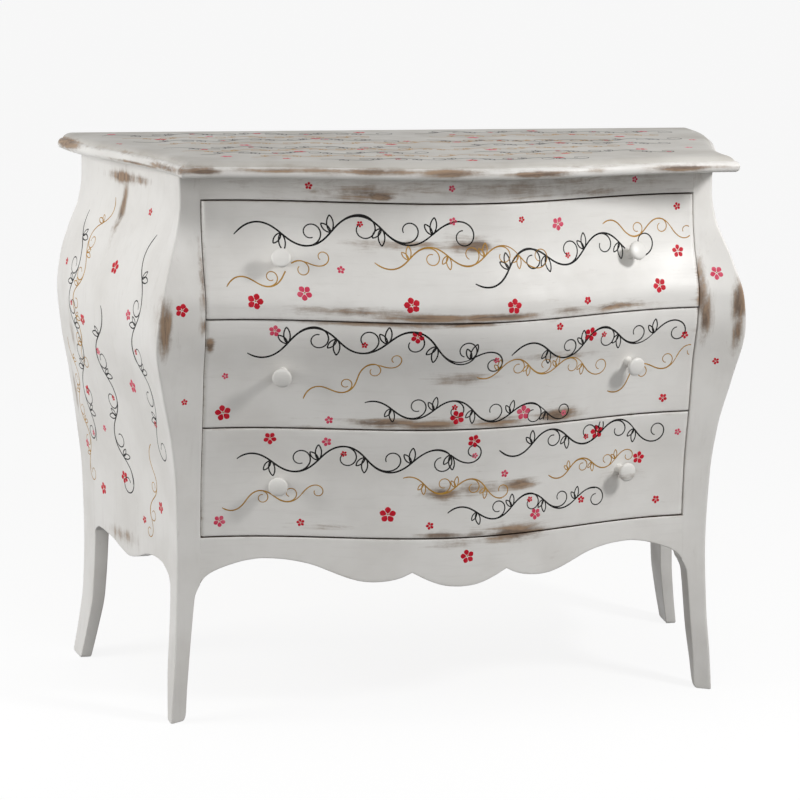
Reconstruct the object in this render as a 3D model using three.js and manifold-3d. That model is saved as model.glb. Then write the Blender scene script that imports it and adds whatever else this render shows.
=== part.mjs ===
// Commode chest with three swelling drawers, on four short legs that curve outwards.
// Lengths are in millimetres. X runs to the right, Y to the back and Z up from the floor.
// The pieces are first placed with the back edge of the top at Y = 0. The last step moves
// them all forward or back together, so that the middle of the outer box is at Y = 0.

import * as THREE from 'three';
import { mergeVertices } from 'three/addons/utils/BufferGeometryUtils.js';
import Module from 'manifold-3d';

// Overall sizes
const OVERALL_WIDTH = 1148;
const OVERALL_DEPTH = 583;
const OVERALL_HEIGHT = 900;
const TOP_THICKNESS = 26;

// Clearances
const GLUE_GAP = 0.3;
const STOP_GAP = 0.6;
const HOLE_CLEARANCE = 0.3;
const JOINT_WIDTH = 2;

// Each table below gives the points of a smooth curve. A pair holds two shares, and the line
// before the table says which two sizes they are shares of.

// The top, seen from above. Its front waves between its two corners, and a short straight
// land lies beside each corner.
const TOP_BOW = 73;
const TOP_CORNER_LAND = 12;
const TOP_SIDE_STEPS = 14;
const TOP_FRONT_STEPS = 28;
// Half width of the top: shares of the depth of its corners, and of half the overall width
const TOP_SIDE_SHARES = [
  [0, 0.993], [0.157, 0.9765], [0.314, 0.9425], [0.471, 0.8955], [0.6275, 0.8475],
  [0.784, 0.81], [0.902, 0.7935], [1, 0.7875],
];
// The moulding round the top: how far each line lies inside the widest one, and how high it is
// above the underside. A round bead below, a small step, and a rounded upper edge.
const TOP_INSET = 14;
// Shares of the inset, and of the thickness of the top
const TOP_MOULDING_SHARES = [
  [0.43, 0], [0.1, 0.09], [0, 0.27], [0.1, 0.455], [0.43, 0.57], [0.53, 0.77], [0.685, 0.93],
  [1, 1],
];

// The swelling of the body. The arris is the front corner line of the body, which runs down
// into the front leg. It stands furthest in at its waist, below the top.
const ARRIS_WAIST_SHARE = 0.7657;
// Shares of the overall height, and of half the overall width
const ARRIS_WIDTH_SHARES = [
  [0, 0.798], [0.067, 0.791], [0.156, 0.782], [0.289, 0.776], [0.411, 0.78], [0.5, 0.794],
  [0.589, 0.822], [0.68, 0.845], [0.744, 0.834], [0.811, 0.807], [0.878, 0.775],
  [0.924, ARRIS_WAIST_SHARE], [0.973, 0.767],
];
const REAR_WIDTH_SHARES = [
  [0, 0.96], [0.067, 0.942], [0.133, 0.929], [0.222, 0.925], [0.356, 0.93], [0.444, 0.944],
  [0.561, 0.969], [0.633, 0.988], [0.716, 1], [0.778, 0.988], [0.833, 0.962], [0.878, 0.935],
  [0.924, 0.925], [0.973, 0.925],
];
// Shares of the overall height, and of the overall depth
const ARRIS_DEPTH_SHARES = [
  [0, 0.782], [0.067, 0.777], [0.156, 0.76], [0.289, 0.748], [0.411, 0.755], [0.5, 0.767],
  [0.589, 0.791], [0.678, 0.82], [0.736, 0.8285], [0.811, 0.7925], [0.878, 0.7425],
  [0.924, 0.727], [0.973, 0.7205],
];
// The depth of the front beside the drawers, and how far its middle stands before that
const STILE_DEPTH_SHARES = [
  [0.222, 0.7375], [0.329, 0.735], [0.423, 0.7385], [0.528, 0.7605], [0.623, 0.778],
  [0.711, 0.806], [0.747, 0.806], [0.789, 0.784], [0.833, 0.754], [0.878, 0.7365],
  [0.924, 0.728], [0.973, 0.7185],
];
const WAVE_DEPTH_SHARES = [
  [0.222, 0.144], [0.528, 0.144], [0.723, 0.173], [0.924, 0.1785], [0.973, 0.1785],
];
const CORNER_FLARE_POWER = 1.5;
const SIDE_SWAY = 8;

// Shares of the overall height at which the curved pieces of the body are cut into facets
const BODY_LEVEL_SHARES = [
  0.289, 0.329, 0.378, 0.428, 0.478, 0.528, 0.567, 0.606, 0.644, 0.68, 0.716, 0.747, 0.778,
  0.809, 0.842, 0.878, 0.924,
];
const FRONT_LEG_LEVEL_SHARES = [
  0.022, 0.05, 0.083, 0.121, 0.158, 0.191, 0.211, 0.226, 0.237, 0.246, 0.251,
];
const REAR_LEG_LEVEL_SHARES = [
  0.028, 0.061, 0.094, 0.128, 0.167, 0.211, 0.239, 0.251, 0.262,
];
const FOOT_ROUNDING = 3;
const FOOT_SHRINK_SHARE = 0.86;
const POST_FACE_STEPS = 3;

// Front posts and legs. The stile is the part of the post that shows beside the drawers.
const STILE_WIDTH = 33.5;
const FRONT_POST_BACK_SHARE = 0.669;
// The leg's inner edge, outwards from the opening: shares of the height and the stile's width
const FRONT_LEG_INNER_SHARES = [
  [0, 0.985], [0.022, 0.805], [0.097, 0.595], [0.158, 0.448], [0.204, 0.328], [0.223, 0.269],
  [0.237, 0.12], [0.246, 0],
];
// The leg's back face: shares of the overall height, and of the overall depth
const FRONT_LEG_BACK_SHARES = [
  [0, 0.7445], [0.041, 0.724], [0.121, 0.695], [0.204, 0.688], [0.238, 0.6825],
  [0.251, FRONT_POST_BACK_SHARE],
];

// Rear posts and legs
const REAR_POST_INSET = 1;
const REAR_POST_DEPTH = 80;
const REAR_POST_THICKNESS = 24.5;
// Shares of the overall height, and of the post's depth
const REAR_LEG_DEPTH_SHARES = [
  [0, 0.65], [0.057, 0.75], [0.118, 0.8625], [0.167, 0.9], [0.222, 0.9375], [0.25, 0.975],
  [0.262, 1],
];
// Shares of the overall height, and of the post's thickness
const REAR_LEG_THICKNESS_SHARES = [
  [0, 0.775], [0.144, 0.93], [0.289, 1], [0.973, 1],
];

// Side panels, with their scalloped lower edge
const SIDE_THICKNESS = 18;
const SIDE_STEPS = 14;
// Shares of the way from the rear post to the front post, and of the overall height
const SIDE_LOWER_EDGE_SHARES = [
  [0, 0.257], [0.032, 0.2655], [0.087, 0.27], [0.248, 0.2645], [0.374, 0.251], [0.455, 0.2445],
  [0.548, 0.25], [0.661, 0.2635], [0.774, 0.268], [0.871, 0.2665], [0.9355, 0.26], [1, 0.251],
];

// Front apron. Its lower edge has a lobe in the middle, which ends in a cusp on each side.
const FRONT_THICKNESS = 20;
const APRON_CUSP_SHARES = [0.193, 0.268];
// Shares of the opening's half width, and of the overall height
const APRON_MIDDLE_SHARES = [
  [0, 0.241], [0.039, 0.242], [0.076, 0.245], [0.126, 0.253], APRON_CUSP_SHARES,
];
const APRON_OUTER_SHARES = [
  APRON_CUSP_SHARES, [0.239, 0.258], [0.293, 0.252], [0.345, 0.25], [0.382, 0.251],
  [0.424, 0.255], [0.47, 0.262], [0.515, 0.27], [0.562, 0.278], [0.616, 0.284],
  [0.69, 0.2885], [0.754, 0.2895], [0.818, 0.286], [0.877, 0.279], [0.936, 0.2695],
  [0.968, 0.262], [0.99, 0.2535], [1, 0.2465],
];
const APRON_LOBE_STEPS = 6;
const APRON_OUTER_STEPS = 24;

// Drawers. The middles of the joints above, between and below them are shares of the overall
// height. Each box hangs behind its front, which laps over the rails round the opening.
const DRAWER_JOINT_SHARES = [0.9244, 0.7239, 0.5278, 0.3293];
const DRAWER_FRONT_STEPS = 20;
const FRONT_LAP = 8.5;
const BOX_SIDE_CLEARANCE = 11;
const BOX_BACK_CLEARANCE = 6;
const BOX_SIDE_THICKNESS = 12;
const BOX_SIDE_TOP_DROP = 16;
const BOX_BACK_TOP_DROP = 10;
const BOX_BOTTOM_LIFT = 8;
const BOX_BOTTOM_THICKNESS = 6;
const MIDDLE_LEVEL_SHARES = [0.34, 0.67];

// Rails, runners and panels inside the body
const DIVIDER_THICKNESS = 18;
const DIVIDER_TAIL = 10;
const BOTTOM_THICKNESS = 15;
const RUNNER_REACH = 29;
const GUIDE_CLEARANCE = 2;
const GUIDE_THICKNESS = 15;
const GUIDE_HEIGHT = 14;
const KICKER_WIDTH = 22;
const KICKER_INSET = 1;
const KICKER_CLEARANCE = 3;
const REAR_RAIL_THICKNESS = 19.7;
const REAR_RAIL_LIP = 14;
const REAR_RAIL_DROP = 20;
const REAR_BOTTOM_RAIL_HEIGHT = 44;
const BACK_PANEL_INSET = 6;
const BACK_PANEL_THICKNESS = 8;

// Knobs and their screws
const KNOB_DISTANCE = 284;
const KNOB_HEIGHT_SHARES = [0.482, 0.5215, 0.493];
const KNOB_STEPS = 16;
const KNOB_SEAT_DEPTH = 0.6;
const KNOB_RADIUS = 15.3;
const KNOB_LENGTH = 30.8;
const KNOB_BASE_SHARE = 0.523;
// The outline of a knob from its base to its face: shares of its radius and of its length
const KNOB_OUTLINE_SHARES = [
  [KNOB_BASE_SHARE, 0], [0.484, 0.097], [0.399, 0.26], [0.412, 0.422], [0.562, 0.584],
  [0.8235, 0.698], [0.98, 0.766], [1, 0.844], [0.889, 0.929], [0.556, 0.98],
];
const PILOT_OVERRUN = 1;
const SCREW_SHANK_RADIUS = 2;
const SCREW_HEAD_RADIUS = 4.2;
const SCREW_HEAD_HEIGHT = 2.4;
const SCREW_HEAD_RECESS = 0.8;
const SCREW_HEAD_CLEARANCE = 1.2;
const SCREW_REACH = 14;
const SCREW_POINT_LENGTH = 3;
const SCREW_STEPS = 8;
const SCREW_HOLE_OVERRUN = 12;

// Colours
const PAINT = '#e2dfd9';
const TOP_PAINT = '#c9c9c3';
const RAW_WOOD = '#b79468';
const PLYWOOD = '#c4a67c';
const KNOB_PAINT = '#e7e3dc';
const STEEL = '#9a9a98';

// A smooth curve through the given pairs, which never swings past them
function through(pairs) {
  const last = pairs.length - 1;
  const rise = [];
  for (let k = 0; k < last; k += 1) {
    rise.push((pairs[k + 1][1] - pairs[k][1]) / (pairs[k + 1][0] - pairs[k][0]));
  }
  const slope = pairs.map((pair, k) => {
    if (k === 0) return rise[0];
    if (k === last) return rise[last - 1];
    const turns = rise[k - 1] * rise[k] <= 0;
    return turns ? 0 : (2 * rise[k - 1] * rise[k]) / (rise[k - 1] + rise[k]);
  });
  return (at) => {
    const place = Math.min(Math.max(at, pairs[0][0]), pairs[last][0]);
    let k = 0;
    while (k < last - 1 && place > pairs[k + 1][0]) k += 1;
    const span = pairs[k + 1][0] - pairs[k][0];
    const share = (place - pairs[k][0]) / span;
    const rest = 1 - share;
    const start = rest * rest * (1 + 2 * share) * pairs[k][1];
    const end = share * share * (1 + 2 * rest) * pairs[k + 1][1];
    const leaving = rest * rest * share * span * slope[k];
    const arriving = share * share * rest * span * slope[k + 1];
    return start + end + leaving - arriving;
  };
}

// The same from pairs of shares, with the two sizes that they are shares of
function sized(shares, first, second) {
  return through(shares.map(([a, b]) => [a * first, b * second]));
}

// Places that follow from the sizes above
const halfWidth = OVERALL_WIDTH / 2;
const underTop = OVERALL_HEIGHT - TOP_THICKNESS;
const bodyTop = underTop - GLUE_GAP;
const levelsAt = (shares) => shares.map((share) => OVERALL_HEIGHT * share);
const bodyLevels = [...levelsAt(BODY_LEVEL_SHARES), bodyTop];
const drawerJoints = levelsAt(DRAWER_JOINT_SHARES);
const topCornerDepth = OVERALL_DEPTH - TOP_BOW;
const frontPostBack = OVERALL_DEPTH * FRONT_POST_BACK_SHARE;
const openingHalf = halfWidth * ARRIS_WAIST_SHARE - STILE_WIDTH;
const drawerFrontHalf = openingHalf - JOINT_WIDTH;
const waveHalf = drawerFrontHalf - JOINT_WIDTH;
const boxHalf = openingHalf - BOX_SIDE_CLEARANCE;

const topHalfWidth = sized(TOP_SIDE_SHARES, topCornerDepth, halfWidth);
const arrisHalfWidth = sized(ARRIS_WIDTH_SHARES, OVERALL_HEIGHT, halfWidth);
const rearHalfWidth = sized(REAR_WIDTH_SHARES, OVERALL_HEIGHT, halfWidth);
const arrisDepth = sized(ARRIS_DEPTH_SHARES, OVERALL_HEIGHT, OVERALL_DEPTH);
const stileDepth = sized(STILE_DEPTH_SHARES, OVERALL_HEIGHT, OVERALL_DEPTH);
const waveDepth = sized(WAVE_DEPTH_SHARES, OVERALL_HEIGHT, OVERALL_DEPTH);
const frontLegInnerEdge = sized(FRONT_LEG_INNER_SHARES, OVERALL_HEIGHT, STILE_WIDTH);
const frontLegBackDepth = sized(FRONT_LEG_BACK_SHARES, OVERALL_HEIGHT, OVERALL_DEPTH);
const rearLegFrontDepth = sized(REAR_LEG_DEPTH_SHARES, OVERALL_HEIGHT, REAR_POST_DEPTH);
const rearPostThickness = sized(REAR_LEG_THICKNESS_SHARES, OVERALL_HEIGHT, REAR_POST_THICKNESS);
const sideRun = frontPostBack - REAR_POST_DEPTH;
const sideLowerEdge = sized(SIDE_LOWER_EDGE_SHARES, sideRun, OVERALL_HEIGHT);
const apronMiddleLobe = sized(APRON_MIDDLE_SHARES, openingHalf, OVERALL_HEIGHT);
const apronOuterLobe = sized(APRON_OUTER_SHARES, openingHalf, OVERALL_HEIGHT);

function between(from, to, share) {
  return from + (to - from) * share;
}

// Evenly spaced values, both ends included
function spread(from, to, steps) {
  return Array.from({ length: steps + 1 }, (_, k) => between(from, to, k / steps));
}

// One half of a wave: 1 in the middle and 0 at the given distance and beyond
function wave(distance, halfWidth) {
  const share = Math.min(Math.abs(distance) / halfWidth, 1);
  return (1 + Math.cos(Math.PI * share)) / 2;
}

// Y of the outer front surface. It waves in plan, swells in height, and flares to the arris.
function frontY(x, z) {
  const distance = Math.abs(x);
  const stile = stileDepth(z);
  if (distance <= waveHalf) {
    return -(stile + waveDepth(z) * wave(distance, waveHalf));
  }
  const room = arrisHalfWidth(z) - waveHalf;
  const share = Math.min((distance - waveHalf) / room, 1);
  return -between(stile, arrisDepth(z), share ** CORNER_FLARE_POWER);
}

// Half width of the outer side surface. In plan it bends out behind and in before.
function sideX(y, z) {
  const share = Math.min(-y / arrisDepth(z), 1);
  const straight = between(rearHalfWidth(z), arrisHalfWidth(z), share);
  return straight + SIDE_SWAY * Math.sin(2 * Math.PI * share);
}

// A body from its corner points and triangles, with equal points made one
function bodyFrom(points, triangles) {
  const geometry = new THREE.BufferGeometry();
  geometry.setAttribute('position', new THREE.Float32BufferAttribute(points.flat(), 3));
  geometry.setIndex(triangles.flat());
  return geometry;
}

// Triangles that fill a flat outline
function fill(outline) {
  const flat = outline.map((p) => new THREE.Vector2(p[0], p[1]));
  return THREE.ShapeUtils.triangulateShape(flat, []);
}

// Triangles that join the outer half of a board's ring to the inner half, point by point
function strip(ring) {
  const last = ring.length - 1;
  return Array.from({ length: (last - 1) / 2 }).flatMap((_, k) => [
    [k, k + 1, last - 1 - k], [k, last - 1 - k, last - k],
  ]);
}

// A body from rings of points stacked upwards, each running anticlockwise seen from above
function stack(rings, close = fill) {
  const count = rings[0].length;
  const triangles = [];
  for (let level = 0; level + 1 < rings.length; level += 1) {
    for (let k = 0; k < count; k += 1) {
      const here = level * count + k;
      const next = level * count + ((k + 1) % count);
      triangles.push([here, next, next + count], [here, next + count, here + count]);
    }
  }
  const above = (rings.length - 1) * count;
  close(rings[0]).forEach(([a, b, c]) => triangles.push([a, c, b]));
  close(rings[rings.length - 1]).forEach(([a, b, c]) => {
    triangles.push([a + above, b + above, c + above]);
  });
  return bodyFrom(rings.flat(), triangles);
}

// A ring with four corners
function fourCorners(left, right, front, back, z) {
  return [[left, front, z], [right, front, z], [right, back, z], [left, back, z]];
}

function block(left, right, front, back, bottom, top) {
  return stack([bottom, top].map((z) => fourCorners(left, right, front, back, z)));
}

// The same piece on the other side of the middle
function mirrored(geometry) {
  const copy = geometry.clone();
  copy.scale(-1, 1, 1);
  const index = copy.getIndex().array;
  for (let k = 0; k < index.length; k += 3) {
    [index[k + 1], index[k + 2]] = [index[k + 2], index[k + 1]];
  }
  return copy;
}

// A turned body round the Z axis from radius and height pairs, closed on the axis at both ends
function turned(outline, startHeight, endHeight, steps) {
  const points = [[0, 0, startHeight]];
  outline.forEach(([radius, height]) => {
    for (let k = 0; k < steps; k += 1) {
      const angle = (2 * Math.PI * k) / steps;
      points.push([radius * Math.cos(angle), radius * Math.sin(angle), height]);
    }
  });
  points.push([0, 0, endHeight]);
  const last = points.length - 1;
  const triangles = [];
  for (let k = 0; k < steps; k += 1) {
    const next = (k + 1) % steps;
    triangles.push([0, 1 + next, 1 + k]);
    for (let row = 0; row + 1 < outline.length; row += 1) {
      const a = 1 + row * steps + k;
      const b = 1 + row * steps + next;
      triangles.push([a, b, b + steps], [a, b + steps, a + steps]);
    }
    const top = 1 + (outline.length - 1) * steps;
    triangles.push([last, top + k, top + next]);
  }
  return bodyFrom(points, triangles);
}

const wasm = await Module();
wasm.setup();

function asSolid(geometry) {
  const clean = geometry.clone();
  clean.deleteAttribute('normal');
  clean.deleteAttribute('uv');
  const merged = mergeVertices(clean);
  return new wasm.Manifold(new wasm.Mesh({
    numProp: 3,
    vertProperties: new Float32Array(merged.getAttribute('position').array),
    triVerts: new Uint32Array(merged.getIndex().array),
  }));
}

// The body with the cutters taken away
function cut(body, cutters) {
  let solid = asSolid(body);
  cutters.forEach((cutter) => {
    solid = solid.subtract(asSolid(cutter));
  });
  const mesh = solid.getMesh();
  const geometry = new THREE.BufferGeometry();
  geometry.setAttribute('position', new THREE.BufferAttribute(mesh.vertProperties, 3));
  geometry.setIndex(new THREE.BufferAttribute(mesh.triVerts, 1));
  return geometry;
}

const chest = new THREE.Group();
chest.name = 'commode_chest';

function add(name, geometry, colour, roughness, metalness = 0) {
  geometry.translate(0, OVERALL_DEPTH / 2, 0);
  geometry.computeVertexNormals();
  const material = new THREE.MeshStandardMaterial({ color: colour, roughness, metalness });
  const mesh = new THREE.Mesh(geometry, material);
  mesh.name = name;
  chest.add(mesh);
}

const PAINT_ROUGHNESS = 0.45;
const WOOD_ROUGHNESS = 0.75;
const STEEL_ROUGHNESS = 0.35;

function addPair(name, geometry, colour, roughness) {
  add(`left_${name}`, mirrored(geometry), colour, roughness);
  add(`right_${name}`, geometry, colour, roughness);
}

// The top: its widest line in plan, and the direction in which each point moves inwards
function topLine() {
  const corner = topHalfWidth(topCornerDepth);
  const side = spread(topCornerDepth, 0, TOP_SIDE_STEPS).map((depth) => {
    return [topHalfWidth(depth), -depth];
  });
  const front = spread(-corner, corner, TOP_FRONT_STEPS).map((x) => {
    return [x, -(topCornerDepth + TOP_BOW * wave(x, corner - TOP_CORNER_LAND))];
  });
  const left = side.map(([x, y]) => [-x, y]).reverse();
  return [...left, ...front.slice(1, -1), ...side];
}

// Unit step to the inside of the line from one point to the next
function inwards(from, to) {
  const length = Math.hypot(to[0] - from[0], to[1] - from[1]);
  return [-(to[1] - from[1]) / length, (to[0] - from[0]) / length];
}

function insideLine(line, inset) {
  const last = line.length - 1;
  return line.map((point, k) => {
    if (k === 0) return [point[0] + inset, point[1]];
    if (k === last) return [point[0] - inset, point[1]];
    const before = inwards(line[k - 1], point);
    const after = inwards(point, line[k + 1]);
    const reach = inset / (1 + before[0] * after[0] + before[1] * after[1]);
    return [point[0] + reach * (before[0] + after[0]), point[1] + reach * (before[1] + after[1])];
  });
}

const widestLine = topLine();
add('top_panel', stack(TOP_MOULDING_SHARES.map(([insetShare, heightShare]) => {
  const z = between(underTop, OVERALL_HEIGHT, heightShare);
  return insideLine(widestLine, TOP_INSET * insetShare).map(([x, y]) => [x, y, z]);
})), TOP_PAINT, PAINT_ROUGHNESS);

// A ring drawn towards its own middle, for the rounded underside of a foot
function shrunk(ring, share, z) {
  const middleX = ring.reduce((sum, p) => sum + p[0], 0) / ring.length;
  const middleY = ring.reduce((sum, p) => sum + p[1], 0) / ring.length;
  return ring.map(([x, y]) => [between(middleX, x, share), between(middleY, y, share), z]);
}

// Front posts, each one piece with its leg
function frontPostRing(z) {
  const innerX = openingHalf + frontLegInnerEdge(z);
  const backY = -frontLegBackDepth(z);
  const arrisY = -arrisDepth(z);
  const side = spread(arrisY, backY, POST_FACE_STEPS).map((y) => [sideX(y, z), y, z]);
  const front = spread(innerX, arrisHalfWidth(z), POST_FACE_STEPS).slice(0, -1);
  return [...side, [innerX, backY, z], ...front.map((x) => [x, frontY(x, z), z])];
}

const frontLegLevels = [FOOT_ROUNDING, ...levelsAt(FRONT_LEG_LEVEL_SHARES)];
const frontPostRings = [...frontLegLevels, ...bodyLevels].map(frontPostRing);
frontPostRings.unshift(shrunk(frontPostRings[0], FOOT_SHRINK_SHARE, 0));
addPair('front_post', stack(frontPostRings), PAINT, PAINT_ROUGHNESS);

// Rear posts, each one piece with its leg
function rearPostRing(z) {
  const frontFace = -rearLegFrontDepth(z);
  const thickness = rearPostThickness(z);
  const outer = spread(frontFace, -REAR_POST_INSET, POST_FACE_STEPS);
  const inner = [...outer].reverse();
  return [
    ...outer.map((y) => [sideX(y, z), y, z]),
    ...inner.map((y) => [sideX(y, z) - thickness, y, z]),
  ];
}

const rearLegLevels = [FOOT_ROUNDING, ...levelsAt(REAR_LEG_LEVEL_SHARES)];
const rearPostRings = [...rearLegLevels, ...bodyLevels].map(rearPostRing);
rearPostRings.unshift(shrunk(rearPostRings[0], FOOT_SHRINK_SHARE, 0));
addPair('rear_post', stack(rearPostRings), PAINT, PAINT_ROUGHNESS);

// Side panels between the posts
const sideFrontY = -(frontPostBack - GLUE_GAP);
const sideRearY = -(REAR_POST_DEPTH + GLUE_GAP);

function sidePanel() {
  const along = spread(sideFrontY, sideRearY, SIDE_STEPS);
  const rings = [null, ...bodyLevels].map((level) => {
    const heightAt = (y) => (level === null ? sideLowerEdge(-y - REAR_POST_DEPTH) : level);
    const outer = along.map((y) => [sideX(y, heightAt(y)), y, heightAt(y)]);
    const inner = [...along].reverse().map((y) => {
      return [sideX(y, heightAt(y)) - SIDE_THICKNESS, y, heightAt(y)];
    });
    return [...outer, ...inner];
  });
  return stack(rings, strip);
}

addPair('side_panel', sidePanel(), PAINT, PAINT_ROUGHNESS);

// A piece of the waving front: its outer face, and an inner face the same shape behind it
function frontBoard(across, levels, heightAt) {
  return stack(levels.map((level) => {
    const outer = across.map((x) => {
      const z = heightAt(x, level);
      return [x, frontY(x, z), z];
    });
    const inner = [...across].reverse().map((x) => {
      const z = heightAt(x, level);
      return [x, frontY(x, z) + FRONT_THICKNESS, z];
    });
    return [...outer, ...inner];
  }), strip);
}

const railHalfWidth = openingHalf - GLUE_GAP;
const halfJoint = JOINT_WIDTH / 2;
const boxInnerHalf = boxHalf - BOX_SIDE_THICKNESS - GLUE_GAP;
const innerAcross = spread(-boxInnerHalf, boxInnerHalf, DRAWER_FRONT_STEPS);
const drawerAcross = [-drawerFrontHalf, ...innerAcross, drawerFrontHalf];
const railAcross = [-railHalfWidth, ...innerAcross, railHalfWidth];
add('top_rail', frontBoard(railAcross, [drawerJoints[0] + halfJoint, bodyTop], (x, z) => z),
  PAINT, PAINT_ROUGHNESS);

// The apron, whose lower edge has a lobe in the middle and a long scallop on each side
const cuspDistance = openingHalf * APRON_CUSP_SHARES[0];

function apronLowerEdge(x) {
  const distance = Math.abs(x);
  return distance < cuspDistance ? apronMiddleLobe(distance) : apronOuterLobe(distance);
}

const apronHalf = [
  ...spread(0, cuspDistance, APRON_LOBE_STEPS).slice(0, -1),
  ...spread(cuspDistance, railHalfWidth, APRON_OUTER_STEPS),
];
const apronAcross = [...apronHalf.slice(1).map((x) => -x).reverse(), ...apronHalf];
const apronTop = drawerJoints[3] - halfJoint;
add('front_apron', frontBoard(apronAcross, [0, 1], (x, share) => {
  return between(apronLowerEdge(x), apronTop, share);
}), PAINT, PAINT_ROUGHNESS);

// Dividers behind the joints between the drawers. The drawer fronts close against them.
const behindFront = FRONT_THICKNESS + STOP_GAP;
const dividerBackY = -(frontPostBack - DIVIDER_TAIL);

function dividerLevels(joint) {
  const top = joint + halfJoint + FRONT_LAP;
  return [top - DIVIDER_THICKNESS, joint - halfJoint, joint + halfJoint, top];
}

function divider(joint) {
  return stack(dividerLevels(joint).map((z) => [
    ...railAcross.map((x) => [x, frontY(x, z) + behindFront, z]),
    [railHalfWidth, dividerBackY, z],
    [-railHalfWidth, dividerBackY, z],
  ]));
}

add('upper_divider', divider(drawerJoints[1]), RAW_WOOD, WOOD_ROUGHNESS);
add('lower_divider', divider(drawerJoints[2]), RAW_WOOD, WOOD_ROUGHNESS);

// The bottom board fills the body and carries the lower drawer
const bottomTop = drawerJoints[3] + halfJoint + FRONT_LAP;
const bottomLevels = [
  bottomTop - BOTTOM_THICKNESS, apronTop, drawerJoints[3] + halfJoint, bottomTop,
];
const panelFrontY = -(BACK_PANEL_INSET + BACK_PANEL_THICKNESS);
const rearRailBackY = panelFrontY - GLUE_GAP;
const rearRailFrontY = rearRailBackY - REAR_RAIL_THICKNESS;
const runnerEndY = rearRailFrontY - GLUE_GAP;

function bottomRing(z) {
  const front = railAcross.map((x) => [x, frontY(x, z) + behindFront, z]);
  const shoulderY = -(frontPostBack - STOP_GAP);
  const notchY = -(REAR_POST_DEPTH + STOP_GAP);
  const beside = (y) => sideX(y, z) - SIDE_THICKNESS - STOP_GAP;
  const besidePost = (y) => sideX(y, z) - rearPostThickness(z) - STOP_GAP;
  const right = [
    [railHalfWidth, shoulderY, z],
    ...spread(shoulderY, notchY, SIDE_STEPS).map((y) => [beside(y), y, z]),
    [besidePost(notchY), notchY, z],
    [besidePost(runnerEndY), runnerEndY, z],
  ];
  const left = right.map(([x, y]) => [-x, y, z]).reverse();
  return [...front, ...right, ...left];
}

add('bottom_board', stack(bottomLevels.map(bottomRing)), PLYWOOD, WOOD_ROUGHNESS);

// Rails across the back, between the rear posts, and the back panel behind them
function rearRail(bottom, top) {
  const levels = [bottom, ...bodyLevels.filter((z) => z > bottom && z < top), top];
  return stack(levels.map((z) => {
    const halfAt = (y) => sideX(y, z) - rearPostThickness(z) - STOP_GAP;
    return [
      [-halfAt(rearRailFrontY), rearRailFrontY, z], [halfAt(rearRailFrontY), rearRailFrontY, z],
      [halfAt(rearRailBackY), rearRailBackY, z], [-halfAt(rearRailBackY), rearRailBackY, z],
    ];
  }));
}

const upperRunnerTop = drawerJoints[1] + halfJoint + FRONT_LAP;
const lowerRunnerTop = drawerJoints[2] + halfJoint + FRONT_LAP;
const panelBottom = bottomTop - REAR_BOTTOM_RAIL_HEIGHT;
add('rear_top_rail', rearRail(drawerJoints[0], bodyTop), RAW_WOOD, WOOD_ROUGHNESS);
add('rear_upper_rail', rearRail(upperRunnerTop - REAR_RAIL_DROP, upperRunnerTop + REAR_RAIL_LIP),
  RAW_WOOD, WOOD_ROUGHNESS);
add('rear_lower_rail', rearRail(lowerRunnerTop - REAR_RAIL_DROP, lowerRunnerTop + REAR_RAIL_LIP),
  RAW_WOOD, WOOD_ROUGHNESS);
add('rear_bottom_rail', rearRail(panelBottom, bottomTop), RAW_WOOD, WOOD_ROUGHNESS);

const panelLevels = [panelBottom, ...bodyLevels.filter((z) => z > panelBottom)];
add('back_panel', stack(panelLevels.map((z) => {
  const half = sideX(panelFrontY, z) - rearPostThickness(z) - STOP_GAP;
  return fourCorners(-half, half, panelFrontY, -BACK_PANEL_INSET, z);
})), PLYWOOD, WOOD_ROUGHNESS);

// Runners under the upper and middle drawers: a flat bar with a guide standing on it.
// The section is drawn in X and Z, and runs from the divider to the rear rail.
const runnerInner = boxHalf - RUNNER_REACH;
const guideInner = boxHalf + GUIDE_CLEARANCE;
const guideOuter = guideInner + GUIDE_THICKNESS;

function runner(top) {
  const bottom = top - DIVIDER_THICKNESS;
  const section = [
    [runnerInner, bottom], [guideOuter, bottom], [guideOuter, top + GUIDE_HEIGHT],
    [guideInner, top + GUIDE_HEIGHT], [guideInner, top], [runnerInner, top],
  ];
  const start = dividerBackY + GLUE_GAP;
  const points = [start, runnerEndY].flatMap((y) => section.map(([x, z]) => [x, y, z]));
  const count = section.length;
  const triangles = fill(section).map(([a, b, c]) => [a, b, c]);
  fill(section).forEach(([a, b, c]) => triangles.push([a + count, c + count, b + count]));
  section.forEach((_, k) => {
    const next = (k + 1) % count;
    triangles.push([k, next + count, next], [k, k + count, next + count]);
  });
  return bodyFrom(points, triangles);
}

addPair('upper_runner', runner(upperRunnerTop), RAW_WOOD, WOOD_ROUGHNESS);
addPair('lower_runner', runner(lowerRunnerTop), RAW_WOOD, WOOD_ROUGHNESS);
const guideBottom = bottomTop + GLUE_GAP;
addPair('bottom_guide',
  block(guideInner, guideOuter, sideFrontY, runnerEndY, guideBottom, guideBottom + GUIDE_HEIGHT),
  RAW_WOOD, WOOD_ROUGHNESS);

// Kickers over the sides of the upper drawer
const kickerOuter = boxHalf - KICKER_INSET;
const kickerBottom = drawerJoints[0] - halfJoint - BOX_SIDE_TOP_DROP + KICKER_CLEARANCE;
addPair('kicker',
  block(kickerOuter - KICKER_WIDTH, kickerOuter, sideFrontY, runnerEndY, kickerBottom, bodyTop),
  RAW_WOOD, WOOD_ROUGHNESS);

// Knobs stand square to the swelling front, so each has its own frame on that surface
const SLOPE_STEP = 1;

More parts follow.
